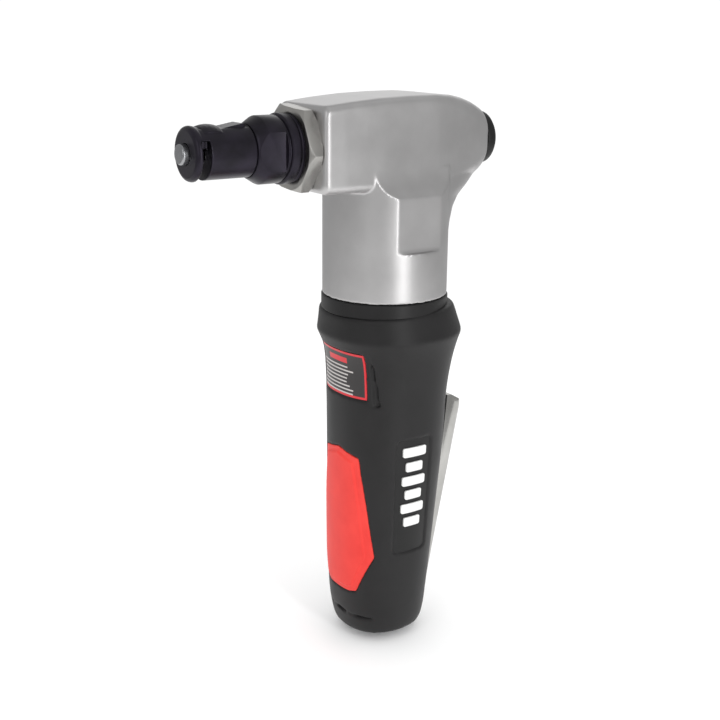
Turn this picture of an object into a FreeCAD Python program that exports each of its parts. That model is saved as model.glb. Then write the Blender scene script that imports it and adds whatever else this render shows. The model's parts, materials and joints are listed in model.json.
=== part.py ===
import FreeCAD, Part
import math
import os
from types import SimpleNamespace

import Sketcher
from FreeCAD import Placement, Rotation, Vector

# Air nibbler: a hand tool that cuts sheet metal with a short-stroke punch.
# Millimetres. +Z runs up the handle, +X points along the nose, and the origin is the centre of the
# air inlet's mouth at the bottom. A vane motor in the handle turns an epicyclic gear set, whose carrier
# is a crankshaft. Its eccentric pin drives a sliding block in the ram's yoke, and the ram the punch.

DIMENSIONS = {
    # Clearances
    "press_gap": 0.02,           # radial, pieces that are seated and don't move
    "run_gap": 0.05,             # radial, shafts and slides
    "free_gap": 0.3,             # pieces that pass each other with nothing between them
    # Head casting
    "barrel_base": 136.5,
    "barrel_radius": 23.0,
    "barrel_height": 37.5,
    "shoulder_rise": 4.5,
    "spanner_flat": 21.0,
    "spanner_drop": 19.5,
    "head_rise": 54.5,           # barrel base to the nose's axis
    "head_front": 36.0,
    "head_rear": 43.0,
    "head_half_width": 16.4,
    "head_rear_half_width": 10.6,
    "head_taper_start": 15.0,
    "head_crown": 17.2,          # axis to the top
    "head_floor": 14.9,          # axis to the underside
    "head_end_rise": 10.7,
    "head_end_drop": 9.5,
    "heel_radius": 23.2,
    "heel_height": 15.5,
    "corner_cut": 2.9,
    "cap_thread_length": 7.0,
    "seal_wire": 1.2,
    # Crank train
    "crank_throw": 2.6,
    "crank_pin_radius": 3.0,
    "crank_collar_radius": 4.2,
    "crank_journal_radius": 8.0,
    "crank_bearing_radius": 17.0,
    "crank_bearing_width": 7.0,
    "crank_ball_radius": 2.6,
    "crank_web_height": 33.5,    # barrel base to the web over the upper bearing
    "crank_spacer_length": 7.0,
    "crank_hub_radius": 10.0,
    "crank_hub_length": 6.0,
    "crank_cheek_length": 8.0,
    "carrier_radius": 16.5,
    "carrier_thickness": 6.7,
    "circlip_thickness": 1.2,
    "circlip_depth": 1.0,
    # Yoke, ram and punch
    "block_side": 9.0,
    "block_height": 11.0,
    "ram_radius": 10.0,
    "ram_half_length": 24.0,
    "ram_bush_length": 15.0,
    "nose_bore_radius": 11.73,
    "punch_shank_radius": 4.5,
    "punch_shank_end": 44.0,
    "punch_radius": 3.4,
    "punch_neck_radius": 2.6,
    "punch_socket_depth": 12.0,
    "punch_tip": 81.8,
    "set_screw_radius": 2.0,
    # Nose
    "nut_across_flats": 27.6,
    "nut_thickness": 5.2,
    "holder_back": 27.5,
    "holder_front": 57.3,
    "bead_radius": 11.95,
    "bead_back": 42.6,
    "collar_radius": 11.4,
    "collar_across_flats": 18.8,
    "collar_back": 46.6,
    "collar_chamfer_length": 3.8,
    "collar_chamfer_depth": 2.2,
    "die_shank_radius": 6.5,
    "die_shank_length": 9.0,
    "die_radius": 8.7,
    "die_front": 79.3,
    "throat_width": 3.2,
    "throat_front": 77.2,
    "throat_roof": 4.6,
    "die_head_radius": 9.0,
    "die_flat": 7.7,             # axis to the flat along the die's top
    "die_flat_front": 75.6,
    "die_hump_back": 67.6,
    "die_hump_height": 9.1,
    "die_ramp_height": 9.0,
    # Gear set
    "gear_module": 0.75,
    "gear_slack": 0.1,
    "gear_addendum": 0.9,        # in modules
    "gear_dedendum": 1.2,        # in modules
    "gear_length": 17.0,
    "ring_gear_radius": 18.4,
    "planet_pin_radius": 2.5,
    "carrier_gap": 0.3,
    # Vane motor
    "rotor_radius": 11.6,
    "rotor_offset": 1.2,         # cylinder bore's axis from the rotor's
    "cylinder_bore_radius": 13.0,
    "cylinder_radius": 16.0,
    "cylinder_length": 40.0,
    "vane_thickness": 1.6,
    "vane_slot_floor": 6.0,
    "rear_plate_thickness": 8.0,
    "front_plate_thickness": 9.0,
    "plate_web": 2.0,
    "rotor_journal_radius": 5.3,
    "rotor_bearing_radius": 11.0,
    "rotor_bearing_width": 6.0,
    "rotor_ball_radius": 1.9,
    "cylinder_pin_radius": 1.0,
    # Motor housing
    "housing_base": 4.5,
    "housing_foot_radius": 16.0,
    "housing_foot_height": 56.0,
    "housing_body_radius": 18.5,
    "housing_collar_radius": 21.3,
    "housing_neck_radius": 20.5,
    "housing_neck_length": 10.5,
    "housing_collar_lip": 1.0,
    "port_radius": 1.6,
    "port_circle": 13.3,
    "clamp_ring_radius": 23.4,
    "clamp_ring_thickness": 5.5,
    # Air inlet and exhaust
    "inlet_radius": 5.72,
    "inlet_depth": 12.0,
    "inlet_waist_radius": 4.5,
    "inlet_across_flats": 17.0,
    "inlet_flange": 3.2,
    "bushing_radius": 8.5,
    "bushing_top": 22.0,
    "screen_radius": 5.0,
    "exhaust_inner_radius": 10.5,
    "exhaust_outer_radius": 14.2,
    "exhaust_depth": 7.5,
    "exhaust_hole_radius": 0.8,
    # Throttle valve
    "valve_height": 36.0,
    "valve_bore_radius": 6.0,
    "valve_stem_radius": 1.6,
    "valve_head_radius": 4.2,
    "valve_seat": 8.0,
    "valve_bush_length": 7.6,
    "valve_plug_face": 8.0,
    "valve_feed_radius": 4.0,
    "spring_radius": 3.1,
    "spring_wire_radius": 0.4,
    # Throttle lever
    "pivot_reach": 16.0,
    "pivot_height": 15.5,
    "pivot_pin_radius": 1.25,
    "pivot_eye_radius": 2.2,
    "lever_half_width": 6.5,
    "lever_sheet": 1.2,
    "lever_foot_reach": 18.3,
    "lever_tip_reach": 33.9,
    "lever_tip_height": 88.0,
    "lever_crest_height": 93.0,
    "lever_crest_reach": 26.4,
    "lug_half_width": 5.0,
    "lever_slot_top": 97.0,
    # Grip
    "grip_base": 3.0,
    "grip_top": 131.0,
    "insert_depth": 1.5,
    "insert_proud": 0.3,
    "plate_depth": 0.8,
    "plate_thickness": 0.6,
    "label_base": 100.4,
    "label_top": 117.5,
    "label_half_width": 13.3,
    "panel_base": 38.7,
    "panel_top": 84.6,
    "panel_half_width": 7.5,
}

# The grip's cross-sections: height, radius and how far forward the section's centre lies.
GRIP_SECTIONS = [
    (3.0, 15.9, 1.1),
    (5.5, 17.5, 1.1),
    (11.0, 18.65, 1.15),
    (18.5, 19.45, 1.4),
    (44.0, 20.7, 0.25),
    (83.0, 22.75, -1.4),
    (96.0, 22.75, -1.4),
    (107.0, 23.55, -2.0),
    (115.5, 24.65, -2.85),
    (122.5, 26.6, -2.2),
    (131.0, 25.2, -0.9),
]

SUN_TEETH = 12
PLANET_TEETH = 15
RING_TEETH = SUN_TEETH + 2 * PLANET_TEETH
PLANETS = 3
VANES = 5
BALLS = 8
EXHAUST_HOLES = 16
SPRING_TURNS = 6
PRESSURE_ANGLE = math.radians(25)
FLANK_STEPS = 5
NUT_TURN = -5.0


class Size:
    """A dimension: its number now, and the spreadsheet formula that gives it."""

    def __init__(self, number, formula):
        self.number = float(number)
        self.formula = formula

    def __add__(self, other):
        other = as_size(other)
        return Size(self.number + other.number, f"({self.formula} + {other.formula})")

    def __sub__(self, other):
        other = as_size(other)
        return Size(self.number - other.number, f"({self.formula} - {other.formula})")

    def __mul__(self, other):
        other = as_size(other)
        return Size(self.number * other.number, f"({self.formula} * {other.formula})")

    def __truediv__(self, other):
        other = as_size(other)
        return Size(self.number / other.number, f"({self.formula} / {other.formula})")

    def __neg__(self):
        return Size(-self.number, f"(0 - {self.formula})")

    def __radd__(self, other):
        return as_size(other) + self

    def __rsub__(self, other):
        return as_size(other) - self

    def __rmul__(self, other):
        return as_size(other) * self


def as_size(value):
    """A Size, made from a plain number where needed."""
    if isinstance(value, Size):
        return value
    return Size(value, f"{float(value):.6f}" if value >= 0 else f"(0 - {-float(value):.6f})")


doc = FreeCAD.newDocument("nibbler")
sheet = doc.addObject("Spreadsheet::Sheet", "Sizes")
cells = dict(DIMENSIONS)
for station, (height, radius, forward) in enumerate(GRIP_SECTIONS):
    cells[f"grip_height_{station}"] = height
    cells[f"grip_radius_{station}"] = radius
    cells[f"grip_forward_{station}"] = forward
for row, (alias, number) in enumerate(cells.items(), start=1):
    sheet.set(f"A{row}", alias)
    sheet.set(f"B{row}", str(number))
    sheet.setAlias(f"B{row}", alias)
doc.recompute()
S = SimpleNamespace(**{alias: Size(number, f"Sizes.{alias}") for alias, number in cells.items()})

NODES = {}

# Which way an object's own Z points. "forward" also turns its X to +Y and its Y to +Z, and
# "sideways" keeps its X and turns its Y to +Z, so a side view is drawn as it looks.
TURNS = {
    "up": Rotation(),
    "down": Rotation(Vector(1, 0, 0), 180),
    "forward": Rotation(Vector(1, 1, 1), 120),
    "backward": Rotation(Vector(0, 1, 0), -90),
    "sideways": Rotation(Vector(1, 0, 0), 90),
}


def bind(owner, name, size):
    """Set a property, and tie it to the spreadsheet."""
    size = as_size(size)
    setattr(owner, name, size.number)
    owner.setExpression(name, size.formula)


def place(owner, at, facing="up"):
    """Put an object's own origin at a place, with its Z facing one way."""
    at = [as_size(coordinate) for coordinate in at]
    owner.Placement = Placement(Vector(*[coordinate.number for coordinate in at]), TURNS[facing])
    for axis, coordinate in zip("xyz", at):
        owner.setExpression(f"Placement.Base.{axis}", coordinate.formula)


def node(name, solid):
    """Keep a finished sub-part under the name of its file."""
    solid.Label = name
    NODES[name] = solid
    return solid


def outline_sketch(body, plane, points):
    """A closed outline of straight edges in a body's plane, each corner tied to the spreadsheet."""
    sketch = body.newObject("Sketcher::SketchObject", "outline")
    support = [feature for feature in body.Origin.OriginFeatures if feature.Role == plane][0]
    sketch.AttachmentSupport = (support, "")
    sketch.MapMode = "FlatFace"
    corners = [(as_size(x), as_size(y)) for x, y in points]
    count = len(corners)
    spots = [Vector(x.number, y.number, 0) for x, y in corners]
    for index in range(count):
        sketch.addGeometry(Part.LineSegment(spots[index], spots[(index + 1) % count]), False)
    for index in range(count):
        sketch.addConstraint(Sketcher.Constraint("Coincident", index, 2, (index + 1) % count, 1))
    for index, (x, y) in enumerate(corners):
        for kind, axis, distance in (("DistanceX", -2, x), ("DistanceY", -1, y)):
            if abs(distance.number) < 1e-9:
                sketch.addConstraint(Sketcher.Constraint("PointOnObject", index, 1, axis))
                continue
            rule = sketch.addConstraint(Sketcher.Constraint(kind, -1, 1, index, 1, distance.number))
            sketch.setExpression(f"Constraints[{rule}]", distance.formula)
    return sketch


def turned(name, outline, at=(0, 0, 0), facing="up"):
    """A body turned about its own Z, from an outline of radius and distance along the axis."""
    body = doc.addObject("PartDesign::Body", name)
    sketch = outline_sketch(body, "XZ_Plane", outline)
    turn = body.newObject("PartDesign::Revolution", "turn")
    turn.Profile = sketch
    turn.ReferenceAxis = (sketch, ["V_Axis"])
    turn.Angle = 360
    sketch.Visibility = False
    place(body, at, facing)
    return body


def prism(name, outline, length, at=(0, 0, 0), facing="up"):
    """A body padded along its own Z, from an outline in its XY plane."""
    body = doc.addObject("PartDesign::Body", name)
    pad = body.newObject("PartDesign::Pad", "pad")
    pad.Profile = outline_sketch(body, "XY_Plane", outline)
    bind(pad, "Length", length)
    place(body, at, facing)
    return body


def tube(name, outer, inner, length, at=(0, 0, 0), facing="up"):
    """A plain ring or sleeve."""
    return turned(name, [(inner, 0), (outer, 0), (outer, length), (inner, length)], at, facing)


def cylinder(name, radius, length, at=(0, 0, 0), facing="up"):
    """A round bar, or a drill."""
    bar = doc.addObject("Part::Cylinder", name)
    bind(bar, "Radius", radius)
    bind(bar, "Height", length)
    place(bar, at, facing)
    return bar


def block(name, low, high):
    """A box from its lowest corner to its highest."""
    box = doc.addObject("Part::Box", name)
    for side, start, stop in zip(("Length", "Width", "Height"), low, high):
        bind(box, side, as_size(stop) - as_size(start))
    place(box, low)
    return box


def torus(name, ring_radius, wire_radius, at, facing="up"):
    """A ring of round section."""
    ring = doc.addObject("Part::Torus", name)
    bind(ring, "Radius1", ring_radius)
    bind(ring, "Radius2", wire_radius)
    place(ring, at, facing)
    return ring


def fuse(name, *pieces):
    """One solid from several."""
    whole = doc.addObject("Part::MultiFuse", name)
    whole.Shapes = list(pieces)
    whole.Refine = True
    return whole


def common(name, first, second):
    """Where two solids overlap."""
    shared = doc.addObject("Part::Common", name)
    shared.Base = first
    shared.Tool = second
    return shared


def cut(name, base, *tools):
    """A solid with others taken out of it."""
    result = doc.addObject("Part::Cut", name)
    result.Base = base
    if len(tools) == 1:
        result.Tool = tools[0]
    else:
        group = doc.addObject("Part::MultiFuse", f"{name}_tools")
        group.Shapes = list(tools)
        result.Tool = group
    return result


def hexagon(across_flats, turn=0.0):
    """The corners of a hexagon, with flats at the top and bottom when it isn't turned."""
    corner_radius = across_flats / math.sqrt(3)
    angles = [math.radians(turn + 60 * corner) for corner in range(6)]
    return [(corner_radius * math.cos(angle), corner_radius * math.sin(angle)) for angle in angles]


def around(radius, count, start=0.0):
    """Points spaced evenly on a circle about Z."""
    angles = [math.radians(start + 360 / count * step) for step in range(count)]
    return [(radius * math.cos(angle), radius * math.sin(angle)) for angle in angles]


def ball_bearing(name, journal, outer, width, ball, base):
    """A ball bearing on Z as three sub-parts: outer ring, inner ring and balls."""
    pitch = (journal + outer) / 2
    middle = base + width / 2
    land = ball / 2
    race = torus(f"{name}_race", pitch, ball + S.press_gap, (0, 0, middle))
    outer_blank = tube(f"{name}_outer_blank", outer, pitch + land, width, (0, 0, base))
    inner_blank = tube(f"{name}_inner_blank", pitch - land, journal, width, (0, 0, base))
    node(f"{name}_outer", cut(f"{name}_outer", outer_blank, race))
    node(f"{name}_inner", cut(f"{name}_inner", inner_blank, race))
    balls = []
    for index, (x, y) in enumerate(around(pitch, BALLS)):
        bead = doc.addObject("Part::Sphere", f"{name}_ball_{index}")
        bind(bead, "Radius", ball)
        place(bead, (x, y, middle))
        balls.append(bead)
    cage = doc.addObject("Part::Compound", f"{name}_balls")
    cage.Links = balls
    node(f"{name}_balls", cage)


def involute(angle):
    """The involute function of a pressure angle."""
    return math.tan(angle) - angle


def gear_outline(teeth, low_radius, high_radius, slack):
    """Corners of a toothed wheel's section, with one tooth centred on +X.

    Each flank is an involute of the base circle, and drops straight to the root below it. A
    negative slack widens the teeth, which is the outline of an internal gear's hole.
    """
    pitch_radius = S.gear_module.number * teeth / 2
    base_radius = pitch_radius * math.cos(PRESSURE_ANGLE)
    half_pitch = math.pi / (2 * teeth) - slack / (2 * pitch_radius) + involute(PRESSURE_ANGLE)
    flank = []
    for step in range(FLANK_STEPS + 1):
        radius = low_radius + (high_radius - low_radius) * step / FLANK_STEPS
        angle = math.acos(min(1.0, base_radius / radius))
        flank.append((radius, half_pitch - involute(angle)))
    corners = []
    for tooth in range(teeth):
        middle = 2 * math.pi * tooth / teeth
        for radius, half in flank:
            corners.append((radius, middle - half))
        for radius, half in reversed(flank):
            corners.append((radius, middle + half))
    return [Vector(radius * math.cos(angle), radius * math.sin(angle), 0) for radius, angle in corners]


def gear_wheel(name, teeth, length, addendum, dedendum, slack, at):
    """A toothed wheel of the gear set, as a feature of its own."""
    pitch_radius = S.gear_module.number * teeth / 2
    corners = gear_outline(teeth, pitch_radius - dedendum.number, pitch_radius + addendum.number, slack)
    face = Part.Face(Part.makePolygon(corners + corners[:1]))
    wheel = doc.addObject("Part::Feature", name)
    wheel.Shape = face.extrude(Vector(0, 0, length.number))
    place(wheel, at)
    return wheel


# Heights of the crank train and the motor, from the web over the upper bearing downwards.
head_axis = S.barrel_base + S.head_rise
web = S.barrel_base + S.crank_web_height
upper_bearing_base = web - S.crank_bearing_width
lower_bearing_top = upper_bearing_base - S.crank_spacer_length
lower_bearing_base = lower_bearing_top - S.crank_bearing_width
carrier_top = lower_bearing_base - S.crank_hub_length
carrier_base = carrier_top - S.carrier_thickness
gear_top = carrier_base - S.carrier_gap
gear_base = gear_top - S.gear_length
cylinder_top = gear_base - S.front_plate_thickness
cylinder_base = cylinder_top - S.cylinder_length
motor_floor = cylinder_base - S.rear_plate_thickness
collar_base = gear_base - S.housing_collar_lip
neck_top = S.barrel_base + S.housing_neck_length
gear_addendum = S.gear_module * S.gear_addendum
gear_dedendum = S.gear_module * S.gear_dedendum
planet_circle = S.gear_module * ((SUN_TEETH + PLANET_TEETH) / 2)
crank_bearing_seat = S.crank_bearing_radius + S.press_gap
rotor_bearing_seat = S.rotor_bearing_radius + S.press_gap
crank_clear_radius = S.crank_journal_radius + 0.5
pin_top = head_axis + S.block_height / 2 - 0.5
block_base = head_axis - S.block_height / 2 - 1.0
block_top = block_base + S.block_height
yoke_roof = block_top + 1.0
nose_bore = S.nose_bore_radius
bush_outer = nose_bore - S.press_gap
ram_front = S.ram_half_length
bush_back = S.block_side / 2 + 2 * S.crank_throw + S.free_gap + 1.5
yoke_half_length = S.block_side / 2 + 2 * S.crank_throw + S.free_gap
yoke_half_width = S.block_side / 2 + S.crank_throw + S.free_gap
cap_thread = S.head_rear_half_width - 2.2


def lever_face(height):
    """How far back the lever's outer face lies at a height."""
    run = S.lever_tip_height - S.pivot_height
    slope = (S.lever_tip_reach - S.lever_foot_reach) / run
    return S.lever_foot_reach + slope * (height - S.pivot_height)


stem_reach = lever_face(S.valve_height) - S.lever_sheet - S.free_gap


def build_head():
    """The head casting, its rear cap and the cap's seal."""
    axis = head_axis
    side = prism(
        "head_side",
        [
            (S.head_front, axis - S.head_floor),
            (S.head_front, axis + S.head_crown - 2.7),
            (5, axis + S.head_crown),
            (-S.head_taper_start - 1, axis + S.head_crown),
            (-S.head_taper_start - 12, axis + S.head_crown - 1.2),
            (-S.head_rear + 5, axis + S.head_end_rise + 2.4),
            (-S.head_rear, axis + S.head_end_rise),
            (-S.head_rear, axis - S.head_end_drop),
            (-S.head_rear + 7, axis - S.head_end_drop - 7),
            (-S.head_rear + 11.5, axis - S.head_end_drop - 13.5),
            (-S.head_rear + 15.5, axis - S.head_end_drop - 21.5),
            (-S.heel_radius, S.barrel_base + S.heel_height),
            (-S.heel_radius + 5, S.barrel_base + S.heel_height),
            (-S.heel_radius + 5, axis - S.head_floor),
        ],
        2 * S.barrel_radius,
        (0, S.barrel_radius, 0),
        "sideways",
    )
    half, cheek = S.head_half_width, S.head_rear_half_width
    right = [
        (-S.head_rear, cheek - S.corner_cut),
        (-S.head_rear + 1.2, cheek),
        (-S.head_taper_start, half),
        (S.head_front - S.corner_cut, half),
        (S.head_front, half - S.corner_cut),
    ]
    left = [(x, -y) for x, y in reversed(right)]
    plan = prism("head_plan", right + left, 2 * S.head_rise, (0, 0, S.barrel_base))
    barrel = turned(
        "barrel",
        [
            (0, 0),
            (S.barrel_radius, 0),
            (S.barrel_radius, S.barrel_height),
            (S.head_half_width, S.barrel_height + S.shoulder_rise),
            (0, S.barrel_height + S.shoulder_rise),
        ],
        (0, 0, S.barrel_base),
    )
    casting = fuse("head_casting", common("head_block", side, plan), barrel)
    flats = []
    for name, low in (("left", S.spanner_flat), ("right", -S.spanner_flat - 10)):
        base = S.barrel_base + S.barrel_height - S.spanner_drop
        flats.append(block(f"flat_{name}", (-30, low, base),
                           (30, low + 10, S.barrel_base + S.barrel_height + S.shoulder_rise)))
    groove_base = lower_bearing_base - S.circlip_thickness
    barrel_bore = turned(
        "barrel_bore",
        [
            (0, S.barrel_base - 1),
            (S.housing_neck_radius + S.press_gap, S.barrel_base - 1),
            (S.housing_neck_radius + S.press_gap, neck_top),
            (crank_bearing_seat, neck_top),
            (crank_bearing_seat, groove_base),
            (crank_bearing_seat + S.circlip_depth, groove_base),
            (crank_bearing_seat + S.circlip_depth, lower_bearing_base),
            (crank_bearing_seat, lower_bearing_base),
            (crank_bearing_seat, web),
            (crank_clear_radius, web),
            (crank_clear_radius, axis - S.ram_radius + 2),
            (0, axis - S.ram_radius + 2),
        ],
    )
    chamber_front = -(S.ram_half_length + 1)
    chamber_back = -(S.ram_half_length + 1 + 6)
    nose_cavity = turned(
        "nose_cavity",
        [
            (0, -S.head_rear - 1),
            (cap_thread, -S.head_rear - 1),
            (cap_thread, chamber_back),
            (S.ram_radius + 0.6, chamber_back),
            (S.ram_radius + 0.6, chamber_front),
            (nose_bore, chamber_front),
            (nose_bore, S.head_front + 1),
            (0, S.head_front + 1),
        ],
        (0, 0, axis),
        "forward",
    )
    node("head_housing", cut("head_housing", casting, barrel_bore, nose_cavity, *flats))

    rim = S.head_rear_half_width - 0.3
    node("head_cap", turned(
        "head_cap",
        [
            (0, S.head_rear - S.cap_thread_length),
            (cap_thread - S.press_gap, S.head_rear - S.cap_thread_length),
            (cap_thread - S.press_gap, S.head_rear - S.seal_wire),
            (cap_thread - 1, S.head_rear - S.seal_wire),
            (cap_thread - 1, S.head_rear),
            (rim, S.head_rear),
            (rim, S.head_rear + 1.5),
            (rim - 0.9, S.head_rear + 3.5),
            (rim - 3, S.head_rear + 5.2),
            (rim - 6.3, S.head_rear + 6.3),
            (0, S.head_rear + 6.6),
        ],
        (0, 0, axis),
        "backward",
    ))
    node("cap_seal", tube("cap_seal", cap_thread - S.press_gap, cap_thread - 1, S.seal_wire,
                          (-S.head_rear, 0, axis), "forward"))



def build_nose():
    """The lock nut, die holder and die at the front of the head."""
    axis = head_axis
    nut_hex = prism("nut_hex", hexagon(S.nut_across_flats, NUT_TURN), S.nut_thickness,
                    (S.head_front, 0, axis), "forward")
    nut_corner = S.nut_across_flats / math.sqrt(3)
    nut_flat = S.nut_across_flats / 2
    nut_round = turned(
        "nut_round",
        [
            (nose_bore, 0),
            (nut_flat + 0.4, 0),
            (nut_corner, 1.1),
            (nut_corner, S.nut_thickness - 1.1),
            (nut_flat + 0.4, S.nut_thickness),
            (nose_bore, S.nut_thickness),
        ],
        (S.head_front, 0, axis),
        "forward",
    )
    node("lock_nut", common("lock_nut", nut_hex, nut_round))

    thread = nose_bore - S.run_gap
    guide = S.punch_shank_radius + S.run_gap
    socket = S.die_shank_radius + S.press_gap
    die_seat = S.holder_front - S.die_shank_length
    collar = S.collar_radius
    holder_blank = turned(
        "holder_blank",
        [
            (guide, S.holder_back),
            (thread - 0.8, S.holder_back),
            (thread, S.holder_back + 0.8),
            (thread, S.bead_back - 0.4),
            (S.bead_radius - 0.4, S.bead_back),
            (S.bead_radius, S.bead_back + 0.6),
            (S.bead_radius, S.collar_back - 1),
            (S.bead_radius - 0.6, S.collar_back - 0.4),
            (collar - 0.6, S.collar_back - 0.4),
            (collar, S.collar_back),
            (collar, S.holder_front - S.collar_chamfer_length),
            (collar - S.collar_chamfer_depth, S.holder_front),
            (socket, S.holder_front),
            (socket, die_seat),
            (guide, die_seat),
        ],
        (0, 0, axis),
        "forward",
    )
    flat = S.collar_across_flats / 2
    collar_flats = [
        block(f"collar_flat_{name}", (S.collar_back + 0.6, low, axis - S.barrel_radius),
              (S.holder_front + 1, low + 10, axis + S.barrel_radius))
        for name, low in (("left", flat), ("right", -flat - 10))
    ]
    node("die_holder", cut("die_holder", holder_blank, *collar_flats))

    bore = S.punch_radius + 0.15
    throat_back = S.throat_front - S.throat_width
    head_back = S.throat_front - 0.6
    die_blank = turned(
        "die_blank",
        [
            (bore, die_seat),
            (S.die_shank_radius, die_seat),
            (S.die_shank_radius, S.holder_front),
            (S.die_radius, S.holder_front),
            (S.die_radius, head_back),
            (S.die_head_radius, head_back + 0.4),
            (S.die_head_radius, S.die_front - 1.2),
            (S.die_head_radius - 0.4, S.die_front - 0.5),
            (S.die_head_radius - 1.3, S.die_front),
            (bore, S.die_front),
        ],
        (0, 0, axis),
        "forward",
    )
    throat = block("throat", (throat_back, -S.die_radius - 1, axis - S.die_radius - 1),
                   (S.throat_front, S.die_radius + 1, axis + S.throat_roof))
    relief = block("die_relief", (S.holder_front + 0.4, -S.die_radius, axis + S.die_flat),
                   (S.die_flat_front, S.die_radius, axis + S.die_radius + 1))
    hump_back, hump_top = S.die_hump_back, axis + S.die_hump_height
    hump_low = axis + S.die_flat - 1
    hump = prism(
        "die_hump",
        [
            (hump_back, hump_low),
            (S.die_flat_front, hump_low),
            (S.die_flat_front, hump_low + 1),
            (S.die_flat_front - 1, hump_top - 0.4),
            (S.die_flat_front - 2.4, hump_top),
            (hump_back + 2.4, hump_top),
            (hump_back + 1, hump_top - 0.4),
            (hump_back, hump_low + 1),
        ],
        8,
        (0, 4, 0),
        "sideways",
    )
    ramp_back = S.holder_front + 1.4
    ramp = prism(
        "die_ramp",
        [
            (ramp_back, hump_low),
            (hump_back, hump_low),
            (hump_back, axis + S.die_flat),
            (ramp_back, axis + S.die_ramp_height),
        ],
        2.8,
        (0, -1.0, 0),
        "sideways",
    )
    node("die", fuse("die", cut("die_body", die_blank, throat, relief), hump, ramp))


def build_ram():
    """The ram, its two bushes, the punch and the set screw that holds the punch."""
    axis = head_axis
    blank = cylinder("ram_blank", S.ram_radius, 2 * S.ram_half_length,
                     (-S.ram_half_length, 0, axis), "forward")
    yoke = block("yoke", (-yoke_half_length, -yoke_half_width, axis - S.ram_radius - 1),
                 (yoke_half_length, yoke_half_width, yoke_roof))
    socket_back = ram_front - S.punch_socket_depth
    socket = cylinder("punch_socket", S.punch_shank_radius + S.press_gap, S.punch_socket_depth + 1,
                      (socket_back, 0, axis), "forward")
    screw_x = ram_front - S.punch_socket_depth / 2
    screw_hole = cylinder("screw_hole", S.set_screw_radius, S.ram_radius, (screw_x, 0, axis + 1))
    node("ram", cut("ram", blank, yoke, socket, screw_hole))

    bore = S.ram_radius + S.run_gap
    node("ram_bush_front", tube("ram_bush_front", bush_outer, bore, S.ram_bush_length,
                                (bush_back, 0, axis), "forward"))
    rear_bush_end = S.ram_half_length + 1
    node("ram_bush_rear", tube("ram_bush_rear", bush_outer, bore, rear_bush_end - bush_back,
                               (-rear_bush_end, 0, axis), "forward"))

    neck_front = S.throat_front - 0.2
    neck_back = S.throat_front - S.throat_width - 2
    node("punch", turned(
        "punch",
        [
            (0, socket_back),
            (S.punch_shank_radius, socket_back),
            (S.punch_shank_radius, S.punch_shank_end - 1),
            (S.punch_radius, S.punch_shank_end),
            (S.punch_radius, neck_back - 0.8),
            (S.punch_neck_radius, neck_back),
            (S.punch_neck_radius, neck_front - 0.8),
            (S.punch_radius, neck_front),
            (S.punch_radius, S.punch_tip - 3.2),
            (S.punch_radius - 0.3, S.punch_tip - 2.8),
            (S.punch_radius - 0.3, S.punch_tip - 1.1),
            (S.punch_radius - 0.8, S.punch_tip - 0.5),
            (S.punch_radius - 1.8, S.punch_tip - 0.1),
            (0, S.punch_tip),
        ],
        (0, 0, axis),
        "forward",
    ))
    screw_base = axis + S.punch_shank_radius
    screw_length = S.ram_radius - S.punch_shank_radius - 0.6
    screw_blank = cylinder("screw_blank", S.set_screw_radius - S.press_gap, screw_length,
                           (screw_x, 0, screw_base))
    key = prism("screw_key", hexagon(as_size(2.0)), 3, (screw_x, 0, screw_base + screw_length - 2))
    node("punch_screw", cut("punch_screw", screw_blank, key))


def build_crank():
    """The crankshaft with its planet carrier, its bearings and the sliding block."""
    journal = S.crank_journal_radius - S.press_gap
    cheek_top = web + S.crank_cheek_length
    shaft = turned(
        "crank_blank",
        [
            (0, carrier_base),
            (S.carrier_radius, carrier_base),
            (S.carrier_radius, carrier_top),
            (S.crank_hub_radius, carrier_top),
            (S.crank_hub_radius, lower_bearing_base),
            (journal, lower_bearing_base),
            (journal, cheek_top),
            (0, cheek_top),
        ],
    )
    collar_top = block_base - S.run_gap
    collar = cylinder("crank_collar", S.crank_collar_radius, collar_top - cheek_top + 1,
                      (0, S.crank_throw, cheek_top - 1))
    pin = cylinder("crank_pin", S.crank_pin_radius, pin_top - cheek_top, (0, S.crank_throw, cheek_top))
    whole = fuse("crank_whole", shaft, collar, pin)
    pin_holes = [
        cylinder(f"planet_pin_hole_{index}", S.planet_pin_radius, S.carrier_thickness - 2 + 1,
                 (x, y, carrier_base - 1))
        for index, (x, y) in enumerate(around(planet_circle, PLANETS))
    ]
    node("crankshaft", cut("crankshaft", whole, *pin_holes))

    half = S.block_side / 2
    blank = block("block_blank", (-half, S.crank_throw - half, block_base),
                  (half, S.crank_throw + half, block_top))
    bore = cylinder("block_bore", S.crank_pin_radius + S.run_gap, S.block_height + 2,
                    (0, S.crank_throw, block_base - 1))
    node("yoke_block", cut("yoke_block", blank, bore))

    for name, base in (("crank_bearing_lower", lower_bearing_base),
                       ("crank_bearing_upper", upper_bearing_base)):
        ball_bearing(name, S.crank_journal_radius, S.crank_bearing_radius, S.crank_bearing_width,
                     S.crank_ball_radius, base)
    node("crank_spacer", tube("crank_spacer", S.crank_hub_radius, S.crank_journal_radius,
                              S.crank_spacer_length, (0, 0, lower_bearing_top)))
    clip_outer = crank_bearing_seat + S.circlip_depth - S.press_gap
    clip = tube("clip_ring", clip_outer, S.crank_bearing_radius - 1.6, S.circlip_thickness,
                (0, 0, lower_bearing_base - S.circlip_thickness))
    gap = block("clip_gap", (0, -2, lower_bearing_base - S.circlip_thickness - 1),
                (20, 2, lower_bearing_base + 1))
    node("bearing_circlip", cut("bearing_circlip", clip, gap))


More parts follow.
